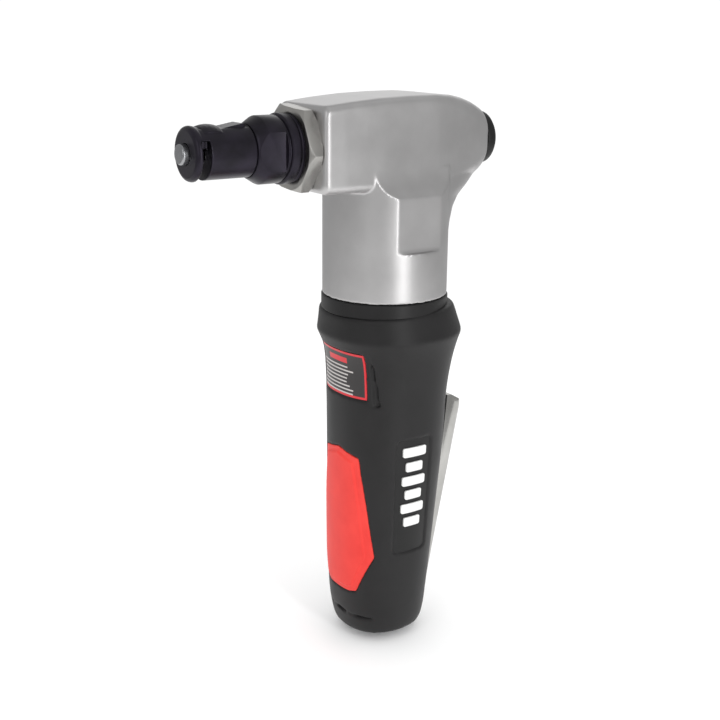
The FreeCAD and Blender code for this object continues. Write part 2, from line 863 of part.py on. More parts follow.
def build_gears():
    """The ring gear, the three planet gears and their pins. The sun is cut on the rotor."""
    ring_blank = cylinder("ring_blank", S.ring_gear_radius, S.gear_length, (0, 0, gear_base))
    ring_hole = gear_wheel("ring_hole", RING_TEETH, S.gear_length + 2, gear_dedendum, gear_addendum,
                           -S.gear_slack.number, (0, 0, gear_base - 1))
    node("ring_gear", cut("ring_gear", ring_blank, ring_hole))

    planet_base = gear_base + 2
    planet_length = S.gear_length - 3
    pins = []
    for index, (x, y) in enumerate(around(planet_circle, PLANETS)):
        wheel = gear_wheel(f"planet_wheel_{index}", PLANET_TEETH, planet_length, gear_addendum,
                           gear_dedendum, S.gear_slack.number, (x, y, planet_base))
        wheel.Placement.Rotation = Rotation(Vector(0, 0, 1), 360 / PLANETS * index)
        hole = cylinder(f"planet_bore_{index}", S.planet_pin_radius + S.run_gap, planet_length + 2,
                        (x, y, planet_base - 1))
        node(f"planet_gear_{index + 1}", cut(f"planet_gear_{index + 1}", wheel, hole))
        pin_top_height = carrier_base + S.carrier_thickness - 2
        pins.append(cylinder(f"planet_pin_{index}", S.planet_pin_radius, pin_top_height - planet_base + 1,
                             (x, y, planet_base - 1)))
    group = doc.addObject("Part::Compound", "planet_pins")
    group.Links = pins
    node("planet_pins", group)


def build_motor():
    """The vane motor: rotor with its sun pinion, vanes, cylinder, end plates and bearings."""
    end_gap = S.free_gap
    journal = S.rotor_journal_radius - S.press_gap
    rotor_base = cylinder_base + end_gap
    rotor_top = cylinder_top - end_gap
    drum = turned(
        "rotor_drum",
        [
            (0, motor_floor + 0.5),
            (journal, motor_floor + 0.5),
            (journal, rotor_base),
            (S.rotor_radius, rotor_base),
            (S.rotor_radius, rotor_top),
            (journal, rotor_top),
            (journal, gear_base - 0.5),
            (0, gear_base - 0.5),
        ],
    )
    sun_length = S.gear_length - 2
    sun = gear_wheel("sun_pinion", SUN_TEETH, sun_length + 1, gear_addendum, gear_dedendum,
                     S.gear_slack.number, (0, 0, gear_base - 1))
    slots = []
    vanes = []
    rotor_length = rotor_top - rotor_base
    half_slot = S.vane_thickness / 2
    half_vane = half_slot - S.press_gap
    for index in range(VANES):
        turn = Rotation(Vector(0, 0, 1), 360 / VANES * index)
        slot = block(f"vane_slot_{index}", (S.vane_slot_floor, -half_slot, rotor_base - 1),
                     (S.rotor_radius + 1, half_slot, rotor_top + 1))
        vane = block(f"vane_{index}", (S.vane_slot_floor + 0.2, -half_vane, rotor_base),
                     (S.rotor_radius - 0.05, half_vane, rotor_top))
        for piece, store in ((slot, slots), (vane, vanes)):
            spin = doc.addObject("Part::Compound", f"{piece.Name}_turned")
            spin.Links = [piece]
            spin.Placement = Placement(Vector(), turn)
            store.append(spin)
    node("rotor", fuse("rotor", cut("rotor_body", drum, *slots), sun))
    vane_set = doc.addObject("Part::Compound", "rotor_vanes")
    vane_set.Links = vanes
    node("rotor_vanes", vane_set)

    shell = cylinder("cylinder_blank", S.cylinder_radius - S.press_gap, S.cylinder_length,
                     (0, 0, cylinder_base))
    bore = cylinder("cylinder_bore", S.cylinder_bore_radius, S.cylinder_length + 2,
                    (S.rotor_offset, 0, cylinder_base - 1))
    ports = [
        cylinder(f"exhaust_port_{index}", 1.5, 2 * S.cylinder_radius,
                 (0, 0, cylinder_base + S.cylinder_length * share), "sideways")
        for index, share in enumerate((0.3, 0.5, 0.7))
    ]
    pin_angle = math.radians(145)
    pin_circle = (S.cylinder_radius + S.cylinder_bore_radius) / 2 - 0.3
    pin_at = (pin_circle * math.cos(pin_angle), pin_circle * math.sin(pin_angle))
    pin_base = cylinder_base - S.rear_plate_thickness / 2
    pin_length = S.cylinder_length + S.rear_plate_thickness
    pin_hole = cylinder("cylinder_pin_hole", S.cylinder_pin_radius + S.press_gap, pin_length,
                        (*pin_at, pin_base))
    node("cylinder_pin", cylinder("cylinder_pin", S.cylinder_pin_radius, pin_length, (*pin_at, pin_base)))
    node("cylinder_liner", cut("cylinder_liner", shell, bore, pin_hole, *ports))

    plate = S.cylinder_radius - S.press_gap
    passage = S.rotor_journal_radius + 0.5
    rear_blank = turned(
        "rear_plate_blank",
        [
            (rotor_bearing_seat, motor_floor),
            (plate, motor_floor),
            (plate, cylinder_base),
            (passage, cylinder_base),
            (passage, cylinder_base - S.plate_web),
            (rotor_bearing_seat, cylinder_base - S.plate_web),
        ],
    )
    feeds = [
        cylinder(f"plate_feed_{index}", S.port_radius, S.rear_plate_thickness + 2, (x, y, motor_floor - 1))
        for index, (x, y) in enumerate(around(S.port_circle, 4))
    ]
    node("rear_plate", cut("rear_plate", rear_blank, pin_hole, *feeds))
    front_blank = turned(
        "front_plate_blank",
        [
            (passage, cylinder_top),
            (plate, cylinder_top),
            (plate, gear_base),
            (rotor_bearing_seat, gear_base),
            (rotor_bearing_seat, cylinder_top + S.plate_web),
            (passage, cylinder_top + S.plate_web),
        ],
    )
    node("front_plate", cut("front_plate", front_blank, pin_hole))
    rear_bearing_base = cylinder_base - S.plate_web - S.rotor_bearing_width
    for name, base in (("rotor_bearing_rear", rear_bearing_base),
                       ("rotor_bearing_front", cylinder_top + S.plate_web)):
        ball_bearing(name, S.rotor_journal_radius, S.rotor_bearing_radius, S.rotor_bearing_width,
                     S.rotor_ball_radius, base)


def build_housing():
    """The motor housing that the grip covers, and the ring that it clamps against the barrel."""
    motor_bore = S.cylinder_radius
    gear_bore = S.ring_gear_radius + S.press_gap
    bushing_bore = S.bushing_radius + S.press_gap
    shell = turned(
        "housing_shell",
        [
            (bushing_bore, S.housing_base),
            (S.housing_foot_radius, S.housing_base),
            (S.housing_foot_radius, S.housing_foot_height),
            (S.housing_body_radius, S.housing_foot_height),
            (S.housing_body_radius, collar_base),
            (S.housing_collar_radius, collar_base),
            (S.housing_collar_radius, S.grip_top),
            (S.housing_neck_radius, S.grip_top),
            (S.housing_neck_radius, neck_top),
            (gear_bore, neck_top),
            (gear_bore, gear_base),
            (motor_bore, gear_base),
            (motor_bore, motor_floor),
            (0, motor_floor),
            (0, S.bushing_top),
            (bushing_bore, S.bushing_top),
        ],
    )
    lug_tip = S.pivot_reach + 1.8
    lug = block("lever_lug", (-lug_tip, -S.lug_half_width, S.pivot_height - 3.3),
                (-S.bushing_radius - 2, S.lug_half_width, S.pivot_height + 3.3))
    exhaust = tube("exhaust_chamber", S.exhaust_outer_radius, S.exhaust_inner_radius,
                   S.exhaust_depth + 1, (0, 0, S.housing_base - 1))
    tools = [
        cylinder("valve_bore", S.valve_bore_radius, 2 * S.housing_foot_radius,
                 (-S.housing_foot_radius, 0, S.valve_height), "forward"),
        cylinder("inlet_passage", S.valve_feed_radius, S.valve_height - S.bushing_top + 1,
                 (0, 0, S.bushing_top - 1)),
        cylinder("feed_port", S.port_radius, motor_floor - S.valve_height + 1,
                 (-S.port_circle, 0, S.valve_height)),
        cylinder("lever_pin_hole", S.pivot_pin_radius + S.press_gap, 2 * S.lug_half_width + 20,
                 (-S.pivot_reach, S.lug_half_width + 10, S.pivot_height), "sideways"),
    ]
    for name, side in (("left", 1), ("right", -1)):
        tools.append(cylinder(f"exhaust_passage_{name}", S.port_radius, motor_floor - S.housing_base + 1,
                              (0, side * S.port_circle, S.housing_base)))
    eye_room = S.pivot_eye_radius + S.free_gap
    ear = S.lever_half_width + S.free_gap
    for name, low, high in (("left", S.lug_half_width, ear), ("right", -ear, -S.lug_half_width)):
        tools.append(block(f"ear_notch_{name}",
                           (-lug_tip - 1, low, S.pivot_height - eye_room),
                           (-S.pivot_reach + eye_room, high, S.pivot_height + eye_room + 3)))
    node("motor_housing", cut("motor_housing", fuse("housing_with_lug", shell, lug), exhaust, *tools))
    node("clamp_ring", tube("clamp_ring", S.clamp_ring_radius, S.housing_neck_radius + S.press_gap,
                            S.clamp_ring_thickness, (0, 0, S.grip_top)))


def build_inlet():
    """The inlet bushing with its screen, the exhaust plate and the felt silencer."""
    thread = S.bushing_radius
    stem = turned(
        "bushing_stem",
        [
            (S.inlet_radius, 0),
            (thread, 0),
            (thread, S.bushing_top),
            (S.screen_radius, S.bushing_top),
            (S.screen_radius, S.bushing_top - 2),
            (S.inlet_waist_radius, S.bushing_top - 2),
            (S.inlet_waist_radius, S.inlet_depth),
            (S.inlet_radius, S.inlet_depth),
        ],
    )
    flange_hex = prism("flange_hex", hexagon(S.inlet_across_flats), S.inlet_flange)
    flange_corner = S.inlet_across_flats / math.sqrt(3)
    flange_round = turned(
        "flange_round",
        [
            (S.inlet_radius, 0),
            (thread + 0.3, 0),
            (flange_corner, 1),
            (flange_corner, S.inlet_flange),
            (S.inlet_radius, S.inlet_flange),
        ],
    )
    node("inlet_bushing", fuse("inlet_bushing", stem, common("flange", flange_hex, flange_round)))

    disc = cylinder("screen_disc", S.screen_radius - S.press_gap, 1.0, (0, 0, S.bushing_top - 2))
    holes = [cylinder("screen_hole_middle", 0.7, 3, (0, 0, S.bushing_top - 3))]
    for index, (x, y) in enumerate(around(as_size(2.4), 6)):
        holes.append(cylinder(f"screen_hole_{index}", 0.7, 3, (x, y, S.bushing_top - 3)))
    node("inlet_screen", cut("inlet_screen", disc, *holes))

    plate_blank = tube("exhaust_disc", S.exhaust_outer_radius + 0.1, thread + S.press_gap,
                       S.housing_base - S.inlet_flange, (0, 0, S.inlet_flange))
    middle = (S.exhaust_inner_radius + S.exhaust_outer_radius) / 2
    vents = [
        cylinder(f"exhaust_vent_{index}", S.exhaust_hole_radius, 4, (x, y, S.inlet_flange - 1))
        for index, (x, y) in enumerate(around(middle, EXHAUST_HOLES))
    ]
    node("exhaust_plate", cut("exhaust_plate", plate_blank, *vents))
    node("silencer_felt", tube("silencer_felt", S.exhaust_outer_radius - 0.1, S.exhaust_inner_radius + 0.1,
                               S.exhaust_depth - 1, (0, 0, S.housing_base + 0.5)))


def build_valve():
    """The throttle valve: bush, stem, rubber seal, spring and closing plug, on a bore along X."""
    height = S.valve_height
    outer = S.valve_bore_radius - S.press_gap
    guide = S.valve_stem_radius + S.run_gap
    back = S.valve_seat + S.valve_bush_length
    bush_blank = turned(
        "valve_bush_blank",
        [
            (guide, 0),
            (outer, 0),
            (outer, 1),
            (outer - 1.4, 1),
            (outer - 1.4, S.valve_bush_length - 3),
            (outer, S.valve_bush_length - 3),
            (outer, S.valve_bush_length),
            (guide + 1, S.valve_bush_length),
            (guide + 1, 2),
            (guide, 2),
        ],
        (-back, 0, height),
        "forward",
    )
    cross = cylinder("valve_cross_hole", 1.0, 2 * S.valve_bore_radius,
                     (-back + 2.9, 0, height - S.valve_bore_radius))
    node("valve_bush", cut("valve_bush", bush_blank, cross))

    seal = 0.8
    head = 1.5
    node("valve_seal", tube("valve_seal", S.valve_head_radius, S.valve_stem_radius, seal,
                            (-S.valve_seat + S.press_gap, 0, height), "forward"))
    head_back = -S.valve_seat + S.press_gap + seal
    node("valve_stem", turned(
        "valve_stem",
        [
            (0, -stem_reach),
            (S.valve_stem_radius - 1, -stem_reach),
            (S.valve_stem_radius, -stem_reach + 0.6),
            (S.valve_stem_radius, head_back),
            (S.valve_head_radius, head_back),
            (S.valve_head_radius, head_back + head),
            (0, head_back + head),
        ],
        (0, 0, height),
        "forward",
    ))
    spring_back = head_back + head + S.spring_wire_radius + 0.1
    spring_front = S.valve_plug_face - S.spring_wire_radius - 0.1
    helix = doc.addObject("Part::Helix", "spring_path")
    bind(helix, "Radius", S.spring_radius)
    bind(helix, "Pitch", (spring_front - spring_back) / SPRING_TURNS)
    bind(helix, "Height", spring_front - spring_back)
    wire = doc.addObject("Part::Circle", "spring_section")
    bind(wire, "Radius", S.spring_wire_radius)
    wire.Placement = Placement(Vector(S.spring_radius.number, 0, 0), Rotation(Vector(1, 0, 0), 90))
    wire.setExpression("Placement.Base.x", S.spring_radius.formula)
    coil = doc.addObject("Part::Sweep", "spring_coil")
    coil.Sections = [wire]
    coil.Spine = (helix, ["Edge1"])
    coil.Solid = True
    coil.Frenet = True
    place(coil, (spring_back, 0, height), "forward")
    node("valve_spring", coil)

    plug_front = S.housing_foot_radius - 1.6
    plug_blank = cylinder("plug_blank", outer, plug_front - S.valve_plug_face,
                          (S.valve_plug_face, 0, height), "forward")
    key = prism("plug_key", hexagon(as_size(5.0)), 4, (plug_front - 3, 0, height), "forward")
    node("valve_plug", cut("valve_plug", plug_blank, key))


def build_lever():
    """The throttle lever, a pressed channel that turns on a pin through the housing's lug."""
    reach, height, eye = S.pivot_reach, S.pivot_height, S.pivot_eye_radius
    slant = eye * 0.707
    foot = height + 5.5
    shell_side = [
        (-reach + slant, height - slant),
        (-reach, height - eye),
        (-reach - slant, height - slant),
        (-lever_face(height), height),
        (-S.lever_tip_reach, S.lever_tip_height),
        (-S.lever_tip_reach + 1.8, S.lever_tip_height + 2.6),
        (-S.lever_crest_reach - 2, S.lever_crest_height),
        (-S.lever_crest_reach, S.lever_crest_height),
        (-S.lever_crest_reach + 3.8, S.lever_crest_height - 38),
        (-reach - 0.2, foot),
        (-reach + slant, height + slant),
        (-reach + eye, height),
    ]
    sheet_metal = S.lever_sheet
    hollow_side = [
        (-S.lever_crest_reach + 20, height - 6),
        (-S.lever_foot_reach - 4, height - 6),
        (-S.lever_foot_reach - 4, foot),
        (-lever_face(foot) + sheet_metal, foot),
        (-S.lever_tip_reach + sheet_metal, S.lever_tip_height - 0.6),
        (-S.lever_tip_reach + 1.8 + sheet_metal, S.lever_tip_height + 2.2 - sheet_metal),
        (-S.lever_crest_reach - 2, S.lever_crest_height - sheet_metal),
        (-S.lever_crest_reach + 20, S.lever_crest_height - sheet_metal),
    ]
    half = S.lever_half_width
    inner = half - sheet_metal
    shell = prism("lever_shell", shell_side, 2 * half, (0, half, 0), "sideways")
    hollow = prism("lever_hollow", hollow_side, 2 * inner, (0, inner, 0), "sideways")
    bore = cylinder("lever_eye", S.pivot_pin_radius + S.run_gap, 4 * half, (-reach, 2 * half, height),
                    "sideways")
    node("throttle_lever", cut("throttle_lever", shell, hollow, bore))
    pin_half = half - S.press_gap
    node("lever_pin", cylinder("lever_pin", S.pivot_pin_radius, 2 * pin_half,
                               (-reach, pin_half, height), "sideways"))


def grip_form(name, inset):
    """The grip's outer form, drawn in by a small distance all round."""
    rings = []
    for station in range(len(GRIP_SECTIONS)):
        ring = doc.addObject("Part::Circle", f"{name}_ring_{station}")
        bind(ring, "Radius", getattr(S, f"grip_radius_{station}") - inset)
        place(ring, (getattr(S, f"grip_forward_{station}"), 0, getattr(S, f"grip_height_{station}")))
        rings.append(ring)
    form = doc.addObject("Part::Loft", name)
    form.Sections = rings
    form.Solid = True
    form.Ruled = True
    return form


def insert_outline(margin):
    """The front insert's outline, seen from the front: across, and up."""
    right = [
        (0, 79.4 + margin),
        (10.7 + margin, 77.0 + margin),
        (16.3 + margin, 37.6),
        (9.9 + margin, 22.4 - margin),
        (0, 21.5 - margin),
    ]
    left = [(-y, z) for y, z in reversed(right[1:-1])]
    return right + left


def build_grip():
    """The grip sleeve with its red insert, label plate and name panel."""
    body = grip_form("grip_form", 0)
    gap = S.run_gap
    cavity = turned(
        "grip_cavity",
        [
            (0, S.grip_base - 1),
            (S.exhaust_outer_radius + 0.2, S.grip_base - 1),
            (S.exhaust_outer_radius + 0.2, S.housing_base),
            (S.housing_foot_radius + gap, S.housing_base),
            (S.housing_foot_radius + gap, S.housing_foot_height),
            (S.housing_body_radius + gap, S.housing_foot_height),
            (S.housing_body_radius + gap, collar_base),
            (S.housing_collar_radius + gap, collar_base),
            (S.housing_collar_radius + gap, S.grip_top + 1),
            (0, S.grip_top + 1),
        ],
    )
    slot_half = S.lever_half_width + S.free_gap + 0.4
    slot = block("lever_slot", (-40, -slot_half, S.pivot_height - 4), (-10, slot_half, S.lever_slot_top))

    insert_bed = grip_form("insert_bed", S.insert_depth)
    insert_face = grip_form("insert_face", -S.insert_proud)
    insert_window = prism("insert_window", insert_outline(0), 30, (8, 0, 0), "forward")
    insert_room = prism("insert_room", insert_outline(S.run_gap.number), 30, (8, 0, 0), "forward")
    node("grip_insert", cut("grip_insert", common("insert_skin", insert_face, insert_window), insert_bed))
    insert_recess = cut("insert_recess", insert_room, insert_bed)

    plate_bed = grip_form("plate_bed", S.plate_depth)
    plate_face = grip_form("plate_face", S.plate_depth - S.plate_thickness)
    wide, narrow = S.label_half_width, S.panel_half_width
    windows = {
        "label_plate": ((10, -wide, S.label_base), (40, wide, S.label_top)),
        "name_panel": ((-narrow, 12, S.panel_base), (narrow, 40, S.panel_top)),
    }
    recesses = [insert_recess]
    for name, (low, high) in windows.items():
        window = block(f"{name}_window", low, high)
        node(name, cut(name, common(f"{name}_skin", plate_face, window), plate_bed))
        low_room = [as_size(coordinate) - gap for coordinate in low]
        high_room = [as_size(coordinate) + gap for coordinate in high]
        recesses.append(cut(f"{name}_recess", block(f"{name}_room", low_room, high_room), plate_bed))
    node("grip_sleeve", cut("grip_sleeve", body, cavity, slot, *recesses))


build_head()
build_nose()
build_ram()
build_crank()
build_gears()
build_motor()
build_housing()
build_inlet()
build_valve()
build_lever()
build_grip()
doc.recompute()

faults = []
for item in doc.Objects:
    if "Invalid" in item.State or "Error" in item.State:
        faults.append(f"{item.Label}: {item.State}")
for label, solid in NODES.items():
    if solid.Shape.isNull() or not solid.Shape.isValid() or not solid.Shape.Solids:
        faults.append(f"{label}: no valid solid")
if faults:
    raise RuntimeError("; ".join(faults))

os.makedirs("parts", exist_ok=True)
for label, solid in NODES.items():
    solid.Shape.exportStep(f"parts/{label}.step")
print(len(NODES), "sub-parts written")
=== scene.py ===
import math

import bpy
from mathutils import Matrix, Vector
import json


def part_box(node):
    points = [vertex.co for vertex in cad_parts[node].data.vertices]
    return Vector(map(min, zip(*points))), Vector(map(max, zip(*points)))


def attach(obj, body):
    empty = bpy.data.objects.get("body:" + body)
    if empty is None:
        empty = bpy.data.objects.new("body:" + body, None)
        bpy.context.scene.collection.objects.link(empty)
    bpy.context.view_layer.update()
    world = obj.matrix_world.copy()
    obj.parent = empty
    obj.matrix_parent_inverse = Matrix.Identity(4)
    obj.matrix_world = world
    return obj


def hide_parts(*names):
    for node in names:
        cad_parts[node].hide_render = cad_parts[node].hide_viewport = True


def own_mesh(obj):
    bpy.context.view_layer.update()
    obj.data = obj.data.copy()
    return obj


# Air nibbler: an upright hand tool that cuts sheet metal with a short-stroke punch.
# Metres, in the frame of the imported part: +Z runs up the handle and +X points along the nose.

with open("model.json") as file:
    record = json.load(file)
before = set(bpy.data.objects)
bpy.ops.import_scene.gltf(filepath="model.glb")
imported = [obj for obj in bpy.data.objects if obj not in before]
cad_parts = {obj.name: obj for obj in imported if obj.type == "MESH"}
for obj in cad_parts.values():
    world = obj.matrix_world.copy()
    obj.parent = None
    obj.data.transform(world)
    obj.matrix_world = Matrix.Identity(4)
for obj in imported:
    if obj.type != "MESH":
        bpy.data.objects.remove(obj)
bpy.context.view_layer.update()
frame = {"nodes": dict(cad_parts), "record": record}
MM = 0.001

HEAD_AXIS = (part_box("ram")[0].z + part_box("ram")[1].z) / 2

# Sizes and places that several pieces share, in millimetres.
AXIS_HEIGHT = HEAD_AXIS / MM
HEAD_FRONT = 36
BARREL_BASE = 136.5
BARREL_RADIUS = 23
MOTOR_BORE = 20.52
HOLDER_BORE = 11.73

# Corners that lie closer than this are one corner, in metres.
SAME_POINT = 0.001 * MM

# The grip's cross-sections from the bottom up, in millimetres: height, radius, how far forward the
# centre lies, and how much higher the back of the section is than its front.
GRIP_RINGS = [
    (3.0, 15.2, 1.1, 0.0),
    (3.9, 16.6, 1.1, 0.0),
    (6.0, 17.6, 1.1, 0.0),
    (11.0, 18.6, 1.15, 0.0),
    (18.5, 19.4, 1.4, 0.0),
    (31.0, 20.1, 0.8, 0.0),
    (44.0, 20.7, 0.25, 0.0),
    (64.0, 21.8, -0.6, 0.0),
    (83.0, 22.6, -1.4, 0.0),
    (96.0, 22.75, -1.4, 0.0),
    (107.0, 23.55, -2.0, 0.0),
    (115.5, 24.7, -2.7, 0.0),
    (120.6, 26.6, -2.4, 0.4),
    (122.0, 27.3, -2.3, 0.6),
    (123.2, 27.0, -2.2, 0.8),
    (127.0, 26.0, -1.6, 1.4),
    (130.6, 25.2, -0.9, 2.2),
    (131.6, 24.4, -0.7, 2.4),
]


# ---- Modelling -------------------------------------------------------------------------------

def deselect():
    """Leave nothing selected."""
    bpy.ops.object.select_all(action="DESELECT")


def edit(piece, mode):
    """Open a piece in edit mode with nothing selected."""
    deselect()
    piece.select_set(True)
    bpy.context.view_layer.objects.active = piece
    bpy.ops.object.mode_set(mode="EDIT")
    bpy.ops.mesh.select_mode(type=mode)
    bpy.ops.mesh.select_all(action="DESELECT")


def done():
    """Leave edit mode with the faces pointing outwards."""
    bpy.ops.mesh.select_all(action="SELECT")
    bpy.ops.mesh.normals_make_consistent(inside=False)
    bpy.ops.object.mode_set(mode="OBJECT")
    return bpy.context.object


def pick_edges(piece, test):
    """Select the edges whose middle and direction pass a test, in edit mode."""
    bpy.ops.object.mode_set(mode="OBJECT")
    mesh = piece.data
    for line in mesh.edges:
        first, second = (mesh.vertices[index].co for index in line.vertices)
        line.select = test((first + second) / 2, (second - first).normalized())
    bpy.ops.object.mode_set(mode="EDIT")


def draw(points):
    """Draw a line of edges: a small plane is merged to a point and extruded from corner to corner."""
    deselect()
    bpy.ops.mesh.primitive_plane_add(size=MM)
    bpy.ops.object.mode_set(mode="EDIT")
    bpy.ops.mesh.select_mode(type="VERT")
    bpy.ops.mesh.merge(type="CENTER")
    bpy.ops.transform.translate(value=points[0])
    for here, there in zip(points, points[1:]):
        bpy.ops.mesh.extrude_vertices_move(TRANSFORM_OT_translate={"value": there - here})


def arc(middle, radius, start, stop, steps):
    """Points on an arc of an outline, with the angles in degrees."""
    angles = [math.radians(start + (stop - start) * step / steps) for step in range(steps + 1)]
    return [(middle[0] + radius * math.cos(a), middle[1] + radius * math.sin(a)) for a in angles]


def turned(name, outline, axis="Z", centre=(0, 0, 0), closed=False, steps=128):
    """A piece turned about X or Z, from an outline in millimetres: radius and place along the axis."""
    middle = Vector(centre)
    along, out = Vector((0, 0, 1)), Vector((1, 0, 0))
    if axis == "X":
        along, out = out, along
    points = [middle + out * radius * MM + along * distance * MM for radius, distance in outline]
    draw(points + points[:1] if closed else points)
    bpy.ops.mesh.select_all(action="SELECT")
    bpy.ops.mesh.spin(steps=steps, angle=2 * math.pi, center=middle, axis=along)
    bpy.ops.mesh.select_all(action="SELECT")
    bpy.ops.mesh.remove_doubles(threshold=SAME_POINT)
    piece = done()
    piece.name = name
    return piece


def prism(name, outline, start, length, normal="Y"):
    """A bar of a constant section across Y or X, from an outline in millimetres."""
    if normal == "Y":
        points = [Vector((x * MM, start * MM, z * MM)) for x, z in outline]
        way = Vector((0, 1, 0))
    else:
        points = [Vector((start * MM, y * MM, z * MM)) for y, z in outline]
        way = Vector((1, 0, 0))
    draw(points + points[:1])
    bpy.ops.mesh.select_all(action="SELECT")
    bpy.ops.mesh.remove_doubles(threshold=SAME_POINT)
    bpy.ops.mesh.select_all(action="SELECT")
    bpy.ops.mesh.edge_face_add()
    bpy.ops.mesh.extrude_region_move(TRANSFORM_OT_translate={"value": way * length * MM})
    piece = done()
    piece.name = name
    return piece


def rolled(name, around, along, place):
    """A closed skin: a grid is rolled up by giving each of its points a place, and its ends filled."""
    deselect()
    bpy.ops.mesh.primitive_grid_add(x_subdivisions=around, y_subdivisions=along - 1, size=2)
    piece = bpy.context.object
    piece.name = name
    for vertex in piece.data.vertices:
        vertex.co = place((vertex.co.x + 1) / 2, (vertex.co.y + 1) / 2)
    edit(piece, "VERT")
    bpy.ops.mesh.select_all(action="SELECT")
    bpy.ops.mesh.remove_doubles(threshold=SAME_POINT)
    bpy.ops.mesh.select_all(action="SELECT")
    bpy.ops.mesh.fill_holes(sides=0)
    return done()


def between(points, place):
    """The value at a place on a line drawn through (place, value) points, in rising order."""
    for (low, first), (high, second) in zip(points, points[1:]):
        if place <= high:
            share = max(0.0, (place - low) / (high - low))
            return first + (second - first) * share
    return points[-1][1]


def fillet(distance, radius):
    """How far a rounded edge stands back at a distance from the face it starts on."""
    if distance >= radius:
        return 0.0
    return radius - math.sqrt(max(0.0, radius ** 2 - (radius - distance) ** 2))


def block(name, low, high):
    """A plain box between two corners, in millimetres."""
    low, high = Vector(low) * MM, Vector(high) * MM
    deselect()
    bpy.ops.mesh.primitive_cube_add(size=1, location=(low + high) / 2, scale=high - low)
    bpy.ops.object.transform_apply(location=True, rotation=True, scale=True)
    piece = bpy.context.object
    piece.name = name
    return piece


def rod(name, radius, start, stop, steps=64):
    """A plain round bar between two points, in millimetres."""
    start, stop = Vector(start) * MM, Vector(stop) * MM
    along = stop - start
    deselect()
    bpy.ops.mesh.primitive_cylinder_add(
        vertices=steps, radius=radius * MM, depth=along.length, location=(start + stop) / 2,
        rotation=along.to_track_quat("Z", "Y").to_euler())
    bpy.ops.object.transform_apply(location=True, rotation=True, scale=True)
    piece = bpy.context.object
    piece.name = name
    return piece


def modify(piece, kind, **settings):
    """Add a modifier and apply it."""
    deselect()
    piece.select_set(True)
    bpy.context.view_layer.objects.active = piece
    modifier = piece.modifiers.new(kind.lower(), kind)
    for name, value in settings.items():
        setattr(modifier, name, value)
    bpy.ops.object.modifier_apply(modifier=modifier.name)
    return piece


def combine(piece, how, *others):
    """Union, difference or intersection with other pieces, which are used up."""
    for other in others:
        modify(piece, "BOOLEAN", operation=how, object=other, solver="EXACT")
        bpy.data.objects.remove(other)
    return piece


def edge_corners(box, radius):
    """Round the four edges of a box that run along Y."""
    edit(box, "EDGE")
    pick_edges(box, lambda middle, way: abs(way.y) > 0.9)
    bpy.ops.mesh.bevel(offset=radius * MM, segments=6, affect="EDGES")
    done()


def copy_of(piece, name):
    """A copy with its own mesh."""
    twin = piece.copy()
    twin.data = piece.data.copy()
    twin.name = name
    bpy.context.scene.collection.objects.link(twin)
    return twin


def melt(piece, grain, rounds):
    """Rebuild a skin in small even faces and relax it, so that its edges round over."""
    modify(piece, "REMESH", mode="VOXEL", voxel_size=grain * MM)
    modify(piece, "SMOOTH", factor=0.5, iterations=rounds)
    return piece


def edge_round(piece, width, angle=30, segments=3):
    """Round every edge sharper than an angle."""
    modify(piece, "BEVEL", width=width * MM, segments=segments, limit_method="ANGLE",
           angle_limit=math.radians(angle), miter_outer="MITER_ARC", use_clamp_overlap=True)
    return piece


def finish(piece, name, material, body, slot, *nodes, smooth=40):
    """Name, shade and paint a finished piece, and put it on its body in place of its CAD nodes."""
    piece.name = name
    piece.data.name = name
    piece.data.materials.clear()
    piece.data.materials.append(material)
    deselect()
    piece.select_set(True)
    bpy.context.view_layer.objects.active = piece
    bpy.ops.object.shade_smooth_by_angle(angle=math.radians(smooth))
    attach(piece, body)
    if nodes:
        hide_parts(*nodes)
    return piece


# ---- Materials -------------------------------------------------------------------------------

def colour(code):
    """An sRGB hex colour as linear light."""
    channels = [int(code[start:start + 2], 16) / 255 for start in (1, 3, 5)]
    linear = [c / 12.92 if c <= 0.04045 else ((c + 0.055) / 1.055) ** 2.4 for c in channels]
    return (*linear, 1.0)


def node(tree, kind, inputs=None, **settings):
    """Add a shader node with its settings, and give its inputs values or links."""
    made = tree.nodes.new("ShaderNode" + kind)
    for name, value in settings.items():
        setattr(made, name, value)
    for name, value in (inputs or {}).items():
        if isinstance(value, bpy.types.NodeSocket):
            tree.links.new(value, made.inputs[name])
        else:
            made.inputs[name].default_value = value
    return made


def surface(name, **values):
    """A material with one Principled surface, and its Object coordinates."""
    material = bpy.data.materials.new(name)
    material.use_nodes = True
    tree = material.node_tree
    tree.nodes.clear()
    where = node(tree, "TexCoord").outputs["Object"]
    skin = node(tree, "BsdfPrincipled", values)
    node(tree, "OutputMaterial", {"Surface": skin.outputs["BSDF"]})
    return material, tree, where, skin


def clouds(tree, where, size, detail):
    """Soft clouds whose grains have the given size in millimetres along X, Y and Z."""
    grains = node(tree, "Mapping", {"Vector": where, "Scale": [1 / (side * MM) for side in size]})
    made = node(tree, "TexNoise", {"Vector": grains.outputs["Vector"], "Scale": 1.0,
                                   "Detail": detail, "Roughness": 0.55})
    return made.outputs["Fac"]


def two_tones(tree, skin, tone, dark, light, gloss):
    """Two near tones, from (place, hex) pairs, and a roughness that varies with them."""
    blend = node(tree, "ValToRGB", {"Fac": tone})
    for element, (place, code) in zip(blend.color_ramp.elements, (dark, light)):
        element.position = place
        element.color = colour(code)
    low, high = gloss
    rough = node(tree, "MapRange", {"Value": tone, "To Min": low, "To Max": high})
    tree.links.new(blend.outputs["Color"], skin.inputs["Base Color"])
    tree.links.new(rough.outputs["Result"], skin.inputs["Roughness"])


def relief(tree, skin, height, depth):
    """A fine relief of a depth in millimetres."""
    made = node(tree, "Bump", {"Height": height, "Distance": depth * MM, "Strength": 1.0})
    tree.links.new(made.outputs["Normal"], skin.inputs["Normal"])


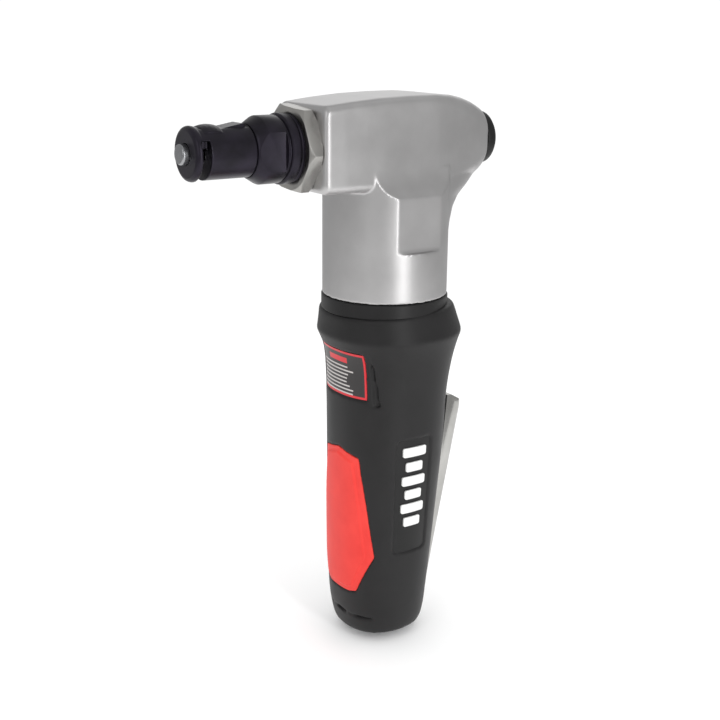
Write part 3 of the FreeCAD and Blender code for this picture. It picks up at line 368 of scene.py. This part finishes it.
def bare_metal(name, dark, light, rough, grain, depth):
    """A bare metal surface: two near tones, uneven gloss and a fine finish of a given grain."""
    material, tree, where, skin = surface(name, Metallic=1.0)
    tone = clouds(tree, where, (18, 18, 18), 4)
    two_tones(tree, skin, tone, (0.32, dark), (0.68, light), (rough * 0.9, rough * 1.1))
    relief(tree, skin, clouds(tree, where, grain, 2), depth)
    return material


def dull(name, dark, light, rough, grain, depth, metallic=0.0, specular=0.5, sheen=0.0):
    """A plastic, rubber or coated surface with a moulded grain."""
    material, tree, where, skin = surface(name, Metallic=metallic)
    skin.inputs["Specular IOR Level"].default_value = specular
    if sheen:
        skin.inputs["Sheen Weight"].default_value = sheen
        skin.inputs["Sheen Roughness"].default_value = 0.6
    tone = clouds(tree, where, (9, 9, 9), 4)
    two_tones(tree, skin, tone, (0.3, dark), (0.7, light), (rough * 0.88, rough * 1.15))
    relief(tree, skin, clouds(tree, where, (grain, grain, grain), 2), depth)
    return material


# Cast aluminium, vibration-finished: a satin grey with soft clouds and fine scratches.
cast_aluminium = bare_metal("satin_cast_aluminium", "#b8b7b7", "#c3c2c2", 0.40, (0.5, 0.5, 2.2), 0.004)
# Machined aluminium: lighter, with turning marks round the axis.
turned_aluminium = bare_metal("turned_aluminium", "#b0b0b1", "#c6c6c6", 0.24, (8, 8, 0.18), 0.004)
# Zinc-plated steel: pale, a little warm, with a soft even gloss.
zinc_steel = bare_metal("zinc_plated_steel", "#9d9c99", "#b3b1ad", 0.30, (0.6, 0.6, 0.6), 0.003)
# Polished steel sheet: bright, with faint lengthways lines.
bright_steel = bare_metal("polished_steel", "#a9a8a5", "#bfbebb", 0.16, (0.25, 0.25, 6.0), 0.002)
# Ground steel: fine lines, cooler grey.
ground_steel = bare_metal("ground_tool_steel", "#8d8e91", "#a7a8aa", 0.25, (0.4, 2.4, 2.4), 0.003)
bearing_steel = bare_metal("lapped_bearing_steel", "#a9aaad", "#bcbdbf", 0.12, (0.7, 0.7, 0.7), 0.001)
bronze = bare_metal("sintered_bronze", "#8f6b3f", "#a9814c", 0.38, (0.3, 0.3, 0.3), 0.01)
brass = bare_metal("turned_brass", "#b08d45", "#c9a65a", 0.25, (3, 3, 0.2), 0.003)
# Black-oxide steel: blue-black, oiled, with a hint of violet where light catches it.
black_oxide = dull("black_oxide_steel", "#1e1c22", "#2b2732", 0.34, 0.35, 0.003, metallic=0.75)
# Moulded black nylon.
black_plastic = dull("moulded_black_nylon", "#0b0b0b", "#121112", 0.42, 0.5, 0.01, specular=0.35)
# Grip rubber: satin black thermoplastic with a fine moulded grain.
grip_rubber = dull("satin_black_rubber", "#0e0d0e", "#161516", 0.50, 0.45, 0.012, specular=0.35, sheen=0.02)
# Coral red soft rubber.
red_rubber = dull("coral_red_rubber", "#d82f28", "#e23a32", 0.52, 0.5, 0.02, specular=0.35, sheen=0.04)
white_print = dull("raised_white_resin", "#dededd", "#e8e8e7", 0.40, 0.4, 0.004)
seal_rubber = dull("nitrile_rubber", "#151515", "#1c1c1c", 0.6, 0.4, 0.01)
felt = dull("grey_felt", "#5b5853", "#76726b", 0.95, 0.35, 0.15, specular=0.1, sheen=0.4)
vane_resin = dull("laminated_vane_resin", "#5a3a20", "#70492a", 0.5, 0.3, 0.01)

PLAIN_FINISHES = {
    "cast_aluminium": cast_aluminium, "machined_aluminium": turned_aluminium,
    "bright_steel": bright_steel, "zinc_steel": zinc_steel, "black_oxide": black_oxide,
    "ground_steel": ground_steel, "bearing_steel": bearing_steel, "black_plastic": black_plastic,
    "grip_rubber": grip_rubber, "red_rubber": red_rubber, "label_film": black_plastic,
    "seal_rubber": seal_rubber, "bronze": bronze, "felt": felt, "vane_resin": vane_resin,
    "brass": brass,
}
slot_of = {}
for entry in frame["record"]["materials"]:
    for name in entry.get("nodes", []):
        slot_of[name] = entry["slot"]
for name, part in frame["nodes"].items():
    part.data.materials.clear()
    part.data.materials.append(PLAIN_FINISHES[slot_of.get(name, "ground_steel")])


# ---- Head ------------------------------------------------------------------------------------

# The head block along X, in millimetres: its top, its underside, its half-width and the radius of
# its long edges, each as (x, value) points.
HEAD_END = -39.4
HEAD_TOP = [(HEAD_END, 201.6), (-37, 202.9), (-32, 204.9), (-26, 206.5), (-19, 207.7), (-12, 208.2),
            (0, 208.15), (12, 207.75), (24, 206.8), (HEAD_FRONT, 205.5)]
HEAD_FLOOR = [(HEAD_END, 181.2), (-36.5, 179.0), (-32, 177.0), (-25, 176.1), (HEAD_FRONT, 176.1)]
HEAD_WIDTH = [(HEAD_END, 10.2), (-17.5, 15.6), (-14.5, 16.2), (-11, 16.4),
              (12, 16.4), (20, 16.3), (28, 16.05), (HEAD_FRONT, 15.6)]
HEAD_CORNER = [(HEAD_END, 8.0), (-30, 6.5), (-17, 3.6), (-8, 3.2)]
# The heel under the head's rear, which runs into the barrel: height, half-length, half-width and
# how far back its oval lies.
HEEL = [(147, 22.9, 22.9, 0.0), (152, 22.9, 22.6, 0.1), (158, 23.0, 22.0, 0.3), (163, 23.3, 21.3, 1.0),
        (168, 23.5, 20.3, 2.5), (172, 24.2, 19.0, 4.8), (175.5, 25.8, 17.6, 8.0), (179, 27.4, 16.0, 10.4),
        (184, 27.8, 15.4, 10.8)]


def head_block():
    """The head block: an oblong section with rounded corners that tapers towards the rear."""
    around, along = 48, 56
    rear_fillet, side_fillet, top_fillet = 1.6, 1.9, 2.2

    def place(turn, share):
        x = HEAD_FRONT + (HEAD_END - HEAD_FRONT) * (0.5 - 0.5 * math.cos(math.pi * share))
        rear = fillet(x - HEAD_END, rear_fillet)
        wide = between(HEAD_WIDTH, x) - fillet(HEAD_FRONT - x, side_fillet) - rear
        rise = fillet(HEAD_FRONT - x, top_fillet) + rear
        top, low = between(HEAD_TOP, x) - rise, between(HEAD_FLOOR, x) + rise
        middle, tall = (top + low) / 2, (top - low) / 2
        corner = between(HEAD_CORNER, x)
        angle = 2 * math.pi * (turn + 0.5 / around)
        y = math.copysign(wide - corner, math.cos(angle)) + corner * math.cos(angle)
        z = middle + math.copysign(tall - corner, math.sin(angle)) + corner * math.sin(angle)
        return Vector((x, y, z)) * MM

    return rolled("head", around, along, place)


def head_heel():
    """The heel under the head's rear: ovals that grow and lean back as they rise."""
    foot, top = HEEL[0][0], HEEL[-1][0]

    def place(turn, share):
        height = foot + (top - foot) * share
        long, wide, back = (between([(row[0], row[column]) for row in HEEL], height)
                            for column in (1, 2, 3))
        angle = 2 * math.pi * turn
        return Vector((long * math.cos(angle) - back, wide * math.sin(angle), height)) * MM

    return rolled("heel", 128, 38, place)


def build_head():
    """The head casting: block, heel, barrel, pointed shoulder and spanner flats, bored for its works."""
    flat_at, flat_base = 21, 154.5
    head = head_block()
    shoulder = arc((27.5, 183), 11.1, 250, 180, 16)
    mirrored = [(-y, z) for y, z in reversed(shoulder)]
    shape = [(-30, 130), (30, 130), (30, 171.5)] + shoulder + mirrored + [(-30, 171.5)]
    barrel = rod("barrel", BARREL_RADIUS, (0, 0, BARREL_BASE), (0, 0, 192), 192)
    combine(barrel, "INTERSECT", prism("shoulder", shape, -40, 80, "X"))
    combine(barrel, "UNION", head_heel())
    for low, high in ((flat_at, 30), (-30, -flat_at)):
        combine(barrel, "DIFFERENCE", block("flat", (-50, low, flat_base), (50, high, 190)))
    combine(head, "UNION", barrel)
    melt(head, 0.45, 4)

    bore = [(0, 130), (MOTOR_BORE, 130), (MOTOR_BORE, 147), (17.02, 147), (17.02, 170)]
    bore += [(8.5, 170), (8.5, 183), (0, 183)]
    combine(head, "DIFFERENCE", turned("bore", bore, steps=96))
    works = [(0, -45), (8.4, -45), (8.4, -32), (10.6, -32), (10.6, -25), (HOLDER_BORE, -25)]
    works += [(HOLDER_BORE, 38), (0, 38)]
    combine(head, "DIFFERENCE", turned("works", works, "X", (0, 0, HEAD_AXIS), steps=96))
    finish(head, "head_casting", cast_aluminium, "root", "cast_aluminium", "head_housing")


def build_cap():
    """The domed rear cap and the ring that the grip clamps under the barrel."""
    dome = [(0, -34), (8.35, -34), (8.35, -39.45), (9.7, -39.45), (9.8, -39.6), (9.8, -42.0), (9.65, -42.8)]
    dome += arc((0, -33.8), 13.2, -44, -90, 12)
    cap = turned("cap", dome, "X", (0, 0, HEAD_AXIS))
    finish(cap, "rear_cap", black_plastic, "root", "black_plastic", "head_cap")
    low, high, outside = 131.05, 136.45, 23.4
    ring = [(MOTOR_BORE, low), (23.1, low), (outside, 131.35), (outside, 136.1), (23.1, high),
            (MOTOR_BORE, high)]
    finish(turned("ring", ring, closed=True), "clamp_band", black_plastic, "root", "black_plastic",
           "clamp_ring")


# ---- Nose ------------------------------------------------------------------------------------

def build_nut():
    """The lock nut, a chamfered hexagon that has come to rest a few degrees round."""
    across_flats, length, turn = 27.6, 5.2, -5
    front = HEAD_FRONT + length
    corners = arc((0, AXIS_HEIGHT), across_flats / math.sqrt(3), turn, turn + 300, 5)
    nut = prism("nut", corners, HEAD_FRONT, length, "X")
    chamfer = [(HOLDER_BORE, HEAD_FRONT), (14.3, HEAD_FRONT), (15.9, 37.0), (15.9, 40.0), (14.1, front),
               (HOLDER_BORE, front)]
    combine(nut, "INTERSECT", turned("chamfer", chamfer, "X", (0, 0, HEAD_AXIS), closed=True))
    edge_round(nut, 0.2, 25, 2)
    finish(nut, "lock_nut_plated", zinc_steel, "root", "zinc_steel", "lock_nut")


def build_holder():
    """The die holder: a threaded stem, a bead and a collar with two spanner flats."""
    thread, flat_at = 11.66, 9.4
    shape = [(4.55, 27.5), (10.9, 27.5), (thread, 28.3), (thread, 41.0)]
    for groove in range(2):
        start = 41.05 + 0.75 * groove
        shape += [(11.2, start + 0.2), (11.2, start + 0.35), (11.62, start + 0.6)]
    shape += [(11.3, 42.5), (11.6, 42.6), (11.9, 42.9), (11.95, 43.4), (11.95, 45.4), (11.7, 45.8)]
    shape += [(11.35, 46.0), (10.9, 46.1), (10.85, 46.5), (11.2, 46.65), (11.4, 46.9), (11.4, 53.3)]
    shape += [(11.2, 53.8), (9.5, 56.6), (9.2, 57.1), (8.9, 57.3), (6.52, 57.3), (6.52, 48.3), (4.55, 48.3)]
    holder = turned("holder", shape, "X", (0, 0, HEAD_AXIS), closed=True)
    for low, high in ((flat_at, 20), (-20, -flat_at)):
        combine(holder, "DIFFERENCE", block("flat", (47.2, low, 170), (60, high, 212)))
    edge_round(holder, 0.18, 28, 2)
    finish(holder, "die_holder_black", black_oxide, "die", "black_oxide", "die_holder")


def build_die():
    """The die: a slotted round nose with a sloping flat and a rounded rib along its top."""
    top = AXIS_HEIGHT
    bore, spigot, step = 3.55, 6.45, 57.35
    shape = [(bore, 48.4), (spigot, 48.4), (spigot, step), (8.5, step), (8.7, 57.6), (8.7, 76.4)]
    shape += [(8.95, 76.9), (9.0, 77.4), (9.0, 77.9), (8.8, 78.5), (8.4, 78.95), (7.6, 79.3), (bore, 79.3)]
    die = turned("die", shape, "X", (0, 0, HEAD_AXIS), closed=True)
    flat = [(57.8, top + 12), (57.8, top + 7.9), (75.8, top + 7.9), (75.8, top + 12)]
    slot = block("throat", (74.0, -12, top - 12), (77.2, 12, top + 4.6))
    combine(die, "DIFFERENCE", prism("flat", flat, -10, 20), slot)
    rib = [(5, 67.0), (7.6, 67.0), (8.3, 67.5), (8.9, 68.6), (9.25, 70.2), (9.35, 71.6), (9.2, 73.2)]
    rib += [(8.8, 74.8), (8.1, 75.9), (5, 76.0)]
    hump = turned("hump", rib, "X", (0, 0, HEAD_AXIS), closed=True, steps=96)
    combine(hump, "INTERSECT", block("sector", (60, -5.6, top + 2), (80, 5.6, top + 12)))
    slope = [(59.0, top + 6), (67.8, top + 6), (67.8, top + 7.9), (59.6, top + 9.3), (59.0, top + 9.0)]
    combine(die, "UNION", hump, prism("slope", slope, -4.4, 7.6))
    melt(die, 0.22, 3)
    finish(die, "die_black", black_oxide, "die", "black_oxide", "die")


def build_punch():
    """The punch, with a stepped and rounded tip."""
    head, shank, neck = 4.5, 3.4, 2.6
    shape = [(0, 12), (head, 12), (head, 43), (shank, 44), (shank, 71.2), (neck, 72), (neck, 76.2)]
    shape += [(shank, 77), (shank, 80.9)] + arc((neck, 80.95), 0.8, 10, 80, 5) + [(1.6, 81.77), (0, 81.79)]
    punch = turned("punch", shape, "X", (0, 0, HEAD_AXIS), steps=64)
    finish(punch, "punch_ground", ground_steel, "ram", "ground_steel", "punch")


# ---- Grip ------------------------------------------------------------------------------------

# How deep the insert and the two thin plates sit under the grip's outer form, and the label's place.
INSERT_DEPTH = 1.0
PLATE_DEPTH = 0.9
LABEL_MIDDLE = 108.95
LABEL_HALF_HEIGHT = 8.55
LABEL_HALF_WIDTH = 13.3


def grip_base():
    """The grip's outer form: rings of a softly squared section, smoothed."""
    power = 2.3

    def place(turn, share):
        height, radius, forward, lift = GRIP_RINGS[round(share * (len(GRIP_RINGS) - 1))]
        angle = 2 * math.pi * turn
        reach = (abs(math.cos(angle)) ** power + abs(math.sin(angle)) ** power) ** (-1 / power)
        reach *= radius * 2 ** (1 / power - 0.5)
        return Vector((forward + reach * math.cos(angle), reach * math.sin(angle),
                       height + lift * (0.5 - 0.5 * math.cos(angle)))) * MM

    form = rolled("grip_base", 48, len(GRIP_RINGS), place)
    modify(form, "SUBSURF", levels=2, render_levels=2)
    return form


def grip_form(name, offset=0.0):
    """The grip's outer form, grown or shrunk by a small distance in millimetres."""
    form = copy_of(GRIP_BASE, name)
    if offset:
        modify(form, "DISPLACE", strength=offset * MM, mid_level=0.0)
    return form


def insert_outline(margin):
    """The red insert's outline seen from the front, in millimetres: across, and up."""
    right = [(0, 79.4 + margin), (10.3 + margin, 77.0 + margin), (13.1 + margin, 57.7),
             (15.1 + margin, 37.6), (9.2 + margin * 0.6, 22.4 - margin), (5.9, 21.5 - margin)]
    left = [(-y, z) for y, z in reversed(right[1:])]
    return right + left


def carve(piece, tool, depth):
    """Cut a tool's shape into a piece, down to a depth under the grip's outer form."""
    combine(tool, "DIFFERENCE", grip_form("bed", -depth))
    combine(piece, "DIFFERENCE", tool)


def build_sleeve():
    """The moulded grip sleeve with its recesses, its slits, the lever's slot and its cavity."""
    sleeve = grip_form("sleeve")
    carve(sleeve, prism("insert_room", insert_outline(0.25), 8, 30, "X"), INSERT_DEPTH)
    carve(sleeve, block("label_pocket", (10, -13.7, 100.0), (40, 13.7, 117.9)), PLATE_DEPTH)
    panel = block("panel_pocket", (-7.8, 10, 38.4), (7.8, 40, 84.9))
    edge_corners(panel, 2.2)
    carve(sleeve, panel, PLATE_DEPTH)
    for name, shape in (("slit", [(14.7, 118), (15.5, 118), (17.2, 98), (15.2, 98)]),
                        ("toe_groove", [(-7, 11.4), (14, 10.2), (14, 11.4), (-7, 12.6)])):
        carve(sleeve, prism(name, shape, 5, 35, "X"), 1.3)
    combine(sleeve, "DIFFERENCE", block("lever_slot", (-40, -7.3, 11.4), (-8, 7.3, 97)))
    melt(sleeve, 0.55, 3)
    cavity = [(0, 0), (14.4, 0), (14.4, 4.5), (16.05, 4.5), (16.05, 56), (18.55, 56), (18.55, 117)]
    cavity += [(21.35, 117), (21.35, 140), (0, 140)]
    combine(sleeve, "DIFFERENCE", turned("cavity", cavity, steps=96))
    finish(sleeve, "grip_moulding", grip_rubber, "root", "grip_rubber", "grip_sleeve")


def build_insert():
    """The soft red insert on the grip's front, with a raised field inside its rim."""
    insert = grip_form("insert")
    combine(insert, "INTERSECT", prism("window", insert_outline(0), 8, 30, "X"))
    field = grip_form("field", 0.6)
    combine(field, "INTERSECT", prism("field_window", insert_outline(-2.1), 8, 30, "X"))
    combine(insert, "UNION", field)
    combine(insert, "DIFFERENCE", grip_form("insert_bed", -INSERT_DEPTH))
    melt(insert, 0.32, 2)
    finish(insert, "red_insert", red_rubber, "root", "red_rubber", "grip_insert")


def build_label():
    """The label film above the insert."""
    label = grip_form("label", -0.35)
    low, high = LABEL_MIDDLE - LABEL_HALF_HEIGHT, LABEL_MIDDLE + LABEL_HALF_HEIGHT
    window = block("label_window", (10, -LABEL_HALF_WIDTH, low), (40, LABEL_HALF_WIDTH, high))
    combine(label, "INTERSECT", window)
    combine(label, "DIFFERENCE", grip_form("label_bed", -PLATE_DEPTH))
    finish(label, "label_film", label_print(), "root", "label_film", "label_plate")


def build_panel():
    """The panel on the grip's side, with a ladder of raised bars."""
    plate = grip_form("plate", -0.6)
    window = block("plate_window", (-7.5, 10, 38.7), (7.5, 40, 84.6))
    edge_corners(window, 2.0)
    combine(plate, "INTERSECT", window)
    combine(plate, "DIFFERENCE", grip_form("plate_floor", -PLATE_DEPTH))
    finish(plate, "side_panel", black_plastic, "root", "black_plastic", "name_panel")
    bars = [(81.5, 5.6), (75.6, 4.2), (70.0, 5.6), (64.4, 4.2), (58.8, 5.6), (53.2, 4.2)]
    for index, (top, width) in enumerate(bars):
        bar = grip_form("bar", 0.05)
        window = block("bar_window", (-width + 0.6, 10, top - 3.6), (width - 0.6, 40, top))
        edge_corners(window, 0.7)
        combine(bar, "INTERSECT", window)
        combine(bar, "DIFFERENCE", grip_form("bar_floor", -0.62))
        edge_round(bar, 0.12, 40, 2)
        finish(bar, f"white_bar_{index + 1}", white_print, "root", "black_plastic")


def label_print():
    """A black label film with a red rim and header, and ragged grey bars where a notice would be."""
    material, tree, where, skin = surface("printed_label_film", Roughness=0.38)
    parts = node(tree, "SeparateXYZ", {"Vector": where}).outputs
    value = {"y": parts["Y"], "z": parts["Z"]}

    def work_out(steps):
        """Add a Math node for each step: its name, what it does, and the one or two values it takes."""
        for name, how, *taken in steps:
            given = {place: value.get(entry, entry) for place, entry in enumerate(taken)}
            value[name] = node(tree, "Math", given, operation=how).outputs[0]

    work_out([
        ("across", "MULTIPLY", "y", 1 / (LABEL_HALF_WIDTH * MM)),
        ("rise", "SUBTRACT", "z", LABEL_MIDDLE * MM),
        ("up", "MULTIPLY", "rise", 1 / (LABEL_HALF_HEIGHT * MM)),
        ("off_centre", "ABSOLUTE", "across"),
        ("off_middle", "ABSOLUTE", "up"),
        ("side_rim", "GREATER_THAN", "off_centre", 0.955),
        ("end_rim", "GREATER_THAN", "off_middle", 0.9),
        ("rim", "MAXIMUM", "side_rim", "end_rim"),
        ("rows", "MULTIPLY", "up", 6.0),
        ("in_row", "FRACT", "rows"),
        ("row", "FLOOR", "rows"),
        ("bar", "GREATER_THAN", "in_row", 0.62),
    ])
    ragged = node(tree, "TexWhiteNoise", {"W": value["row"]}, noise_dimensions="1D").outputs["Value"]
    bar_end = node(tree, "MapRange", {"Value": ragged, "To Min": 0.35, "To Max": 0.82})
    value["bar_end"] = bar_end.outputs["Result"]
    work_out([
        ("before_end", "LESS_THAN", "across", "bar_end"),
        ("past_start", "GREATER_THAN", "across", -0.82),
        ("inside", "MULTIPLY", "before_end", "past_start"),
        ("over_foot", "GREATER_THAN", "up", 0.48),
        ("under_top", "LESS_THAN", "up", 0.72),
        ("header_rise", "MULTIPLY", "over_foot", "under_top"),
        ("header_span", "LESS_THAN", "off_centre", 0.42),
        ("header", "MULTIPLY", "header_rise", "header_span"),
        ("red", "MAXIMUM", "rim", "header"),
        ("below_header", "LESS_THAN", "up", 0.35),
        ("text_bar", "MULTIPLY", "bar", "inside"),
        ("grey", "MULTIPLY", "text_bar", "below_header"),
    ])
    film, grey, red = colour("#272424"), colour("#b9b4b2"), colour("#c8242e")
    base = node(tree, "Mix", {0: value["grey"], 6: film, 7: grey}, data_type="RGBA").outputs[2]
    base = node(tree, "Mix", {0: value["red"], 6: base, 7: red}, data_type="RGBA").outputs[2]
    tree.links.new(base, skin.inputs["Base Color"])
    relief(tree, skin, clouds(tree, where, (0.4, 0.4, 0.4), 3.0), 0.003)
    return material


# ---- Lever -----------------------------------------------------------------------------------

def lever_face(height):
    """How far back the straight face of the lever lies at a height, in millimetres."""
    (low_reach, low), (high_reach, high) = (18.3, 15.5), (33.9, 88.0)
    return low_reach + (high_reach - low_reach) / (high - low) * (height - low)


def folded_bar(name, outline, half_width, bend, segments, band, low, high):
    """A bar cut to a side profile, with its edges along the back face rounded to a bend."""
    def on_bend(middle, way):
        at_side = abs(abs(middle.y) - half_width * MM) < 0.01 * MM
        at_back = -middle.x / MM > lever_face(middle.z / MM) - band
        return at_side and at_back and low * MM < middle.z < high * MM

    bar = prism(name, outline, -half_width, 2 * half_width)
    edit(bar, "EDGE")
    pick_edges(bar, on_bend)
    bpy.ops.mesh.bevel(offset=bend * MM, segments=segments, affect="EDGES")
    return done()


def build_lever():
    """The throttle lever: a channel of bright sheet with an eye for its pin."""
    sheet, half_width, bend = 1.2, 6.5, 2.6
    outer = [(-14.4, 13.9), (-16, 13.3), (-17.6, 13.9), (-18.3, 15.5), (-33.7, 86.8), (-33.9, 88.2)]
    outer += [(-33.4, 89.6), (-32.1, 90.7), (-28.2, 93), (-26.4, 93), (-22.6, 55), (-16.2, 21)]
    outer += [(-14.4, 17.1), (-13.8, 15.5)]
    inner = [(-10, 5), (-22, 5), (-22, 16), (-lever_face(16) + sheet, 16), (-32.5, 86.8), (-32.7, 88)]
    inner += [(-32.2, 88.7), (-31.5, 89.3), (-27.2, 91.7), (-5, 91.7)]
    lever = folded_bar("lever", outer, half_width, bend, 6, 1.2, 15.0, 90.5)
    hollow = folded_bar("hollow", inner, half_width - sheet, 1.6, 5, 1.9, 17.0, 89)
    combine(lever, "DIFFERENCE", hollow)
    combine(lever, "DIFFERENCE", rod("eye", 1.3, (-16, -10, 15.5), (-16, 10, 15.5)))
    edge_round(lever, 0.25, 40, 2)
    finish(lever, "lever_channel", bright_steel, "lever", "bright_steel", "throttle_lever")


def build_spring():
    """The throttle valve's return spring, copied from its CAD part with its doubled points merged."""
    spring = copy_of(frame["nodes"]["valve_spring"], "spring")
    edit(spring, "VERT")
    bpy.ops.mesh.select_all(action="SELECT")
    bpy.ops.mesh.remove_doubles(threshold=SAME_POINT)
    spring = done()
    finish(spring, "return_spring", bright_steel, "root", "bright_steel", "valve_spring")
    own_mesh(spring)


GRIP_BASE = grip_base()
build_head()
build_cap()
build_nut()
build_holder()
build_die()
build_punch()
build_sleeve()
build_insert()
build_label()
build_panel()
build_lever()
build_spring()
bpy.data.objects.remove(GRIP_BASE)


# ---- Studio ----------------------------------------------------------------------------------

def build_studio():
    """A pale floor and soft light."""
    deselect()
    bpy.ops.mesh.primitive_circle_add(vertices=96, radius=0.45, fill_type="NGON")
    floor = bpy.context.object
    floor.name = "floor"
    material, tree, where, skin = surface("pale_floor", Roughness=0.9)
    skin.inputs["Base Color"].default_value = colour("#fdfdfd")
    floor.data.materials.append(material)

    world = bpy.data.worlds.new("studio")
    bpy.context.scene.world = world
    world.use_nodes = True
    tree = world.node_tree
    tree.nodes.clear()
    mirrored = node(tree, "LightPath").outputs["Is Glossy Ray"]
    level = node(tree, "MapRange", {"Value": mirrored, "To Min": 1.05, "To Max": 0.5}).outputs["Result"]
    light = node(tree, "Background", {"Color": colour("#ffffff"), "Strength": level})
    node(tree, "OutputWorld", {"Surface": light.outputs["Background"]})

    def lamp(name, place, size, power, aim=(0, 0, 0.13)):
        data = bpy.data.lights.new(name, "AREA")
        data.shape = "RECTANGLE"
        data.size, data.size_y = size
        data.energy = power
        made = bpy.data.objects.new(name, data)
        bpy.context.scene.collection.objects.link(made)
        made.location = place
        made.rotation_euler = (Vector(aim) - Vector(place)).to_track_quat("-Z", "Y").to_euler()
        made.visible_camera = False

    lamp("key", (0.60, 0.30, 0.45), (0.30, 0.60), 0.6)
    lamp("strip", (0.02, 0.42, 0.22), (0.04, 0.44), 0.6)
    lamp("top", (-0.1, 0.1, 0.75), (0.5, 0.5), 0.15)
    lamp("back", (-0.4, -0.5, 0.45), (0.5, 0.5), 0.5)


def build_camera():
    """A camera at the height and bearing that show the nose, one side and the lever's edge."""
    azimuth, elevation, roll = (math.radians(angle) for angle in (145.535, 16.478, 0.551))
    height, aside, distance = 109.785 * MM, -8.747 * MM, 434.088 * MM
    back = Vector((math.sin(azimuth) * math.cos(elevation), -math.cos(azimuth) * math.cos(elevation),
                   math.sin(elevation)))
    right = Vector((math.cos(azimuth), math.sin(azimuth), 0))
    up = back.cross(right)
    across = math.cos(roll) * right + math.sin(roll) * up
    rise = -math.sin(roll) * right + math.cos(roll) * up
    data = bpy.data.cameras.new("camera")
    data.lens = 57.5
    data.sensor_width = 36
    data.clip_start = 0.01
    camera = bpy.data.objects.new("camera", data)
    bpy.context.scene.collection.objects.link(camera)
    matrix = Matrix((across, rise, back)).transposed().to_4x4()
    matrix.translation = Vector((0, 0, height)) + across * aside + back * distance
    camera.matrix_world = matrix
    bpy.context.scene.camera = camera


build_studio()
build_camera()
bpy.context.scene.view_settings.view_transform = "Standard"
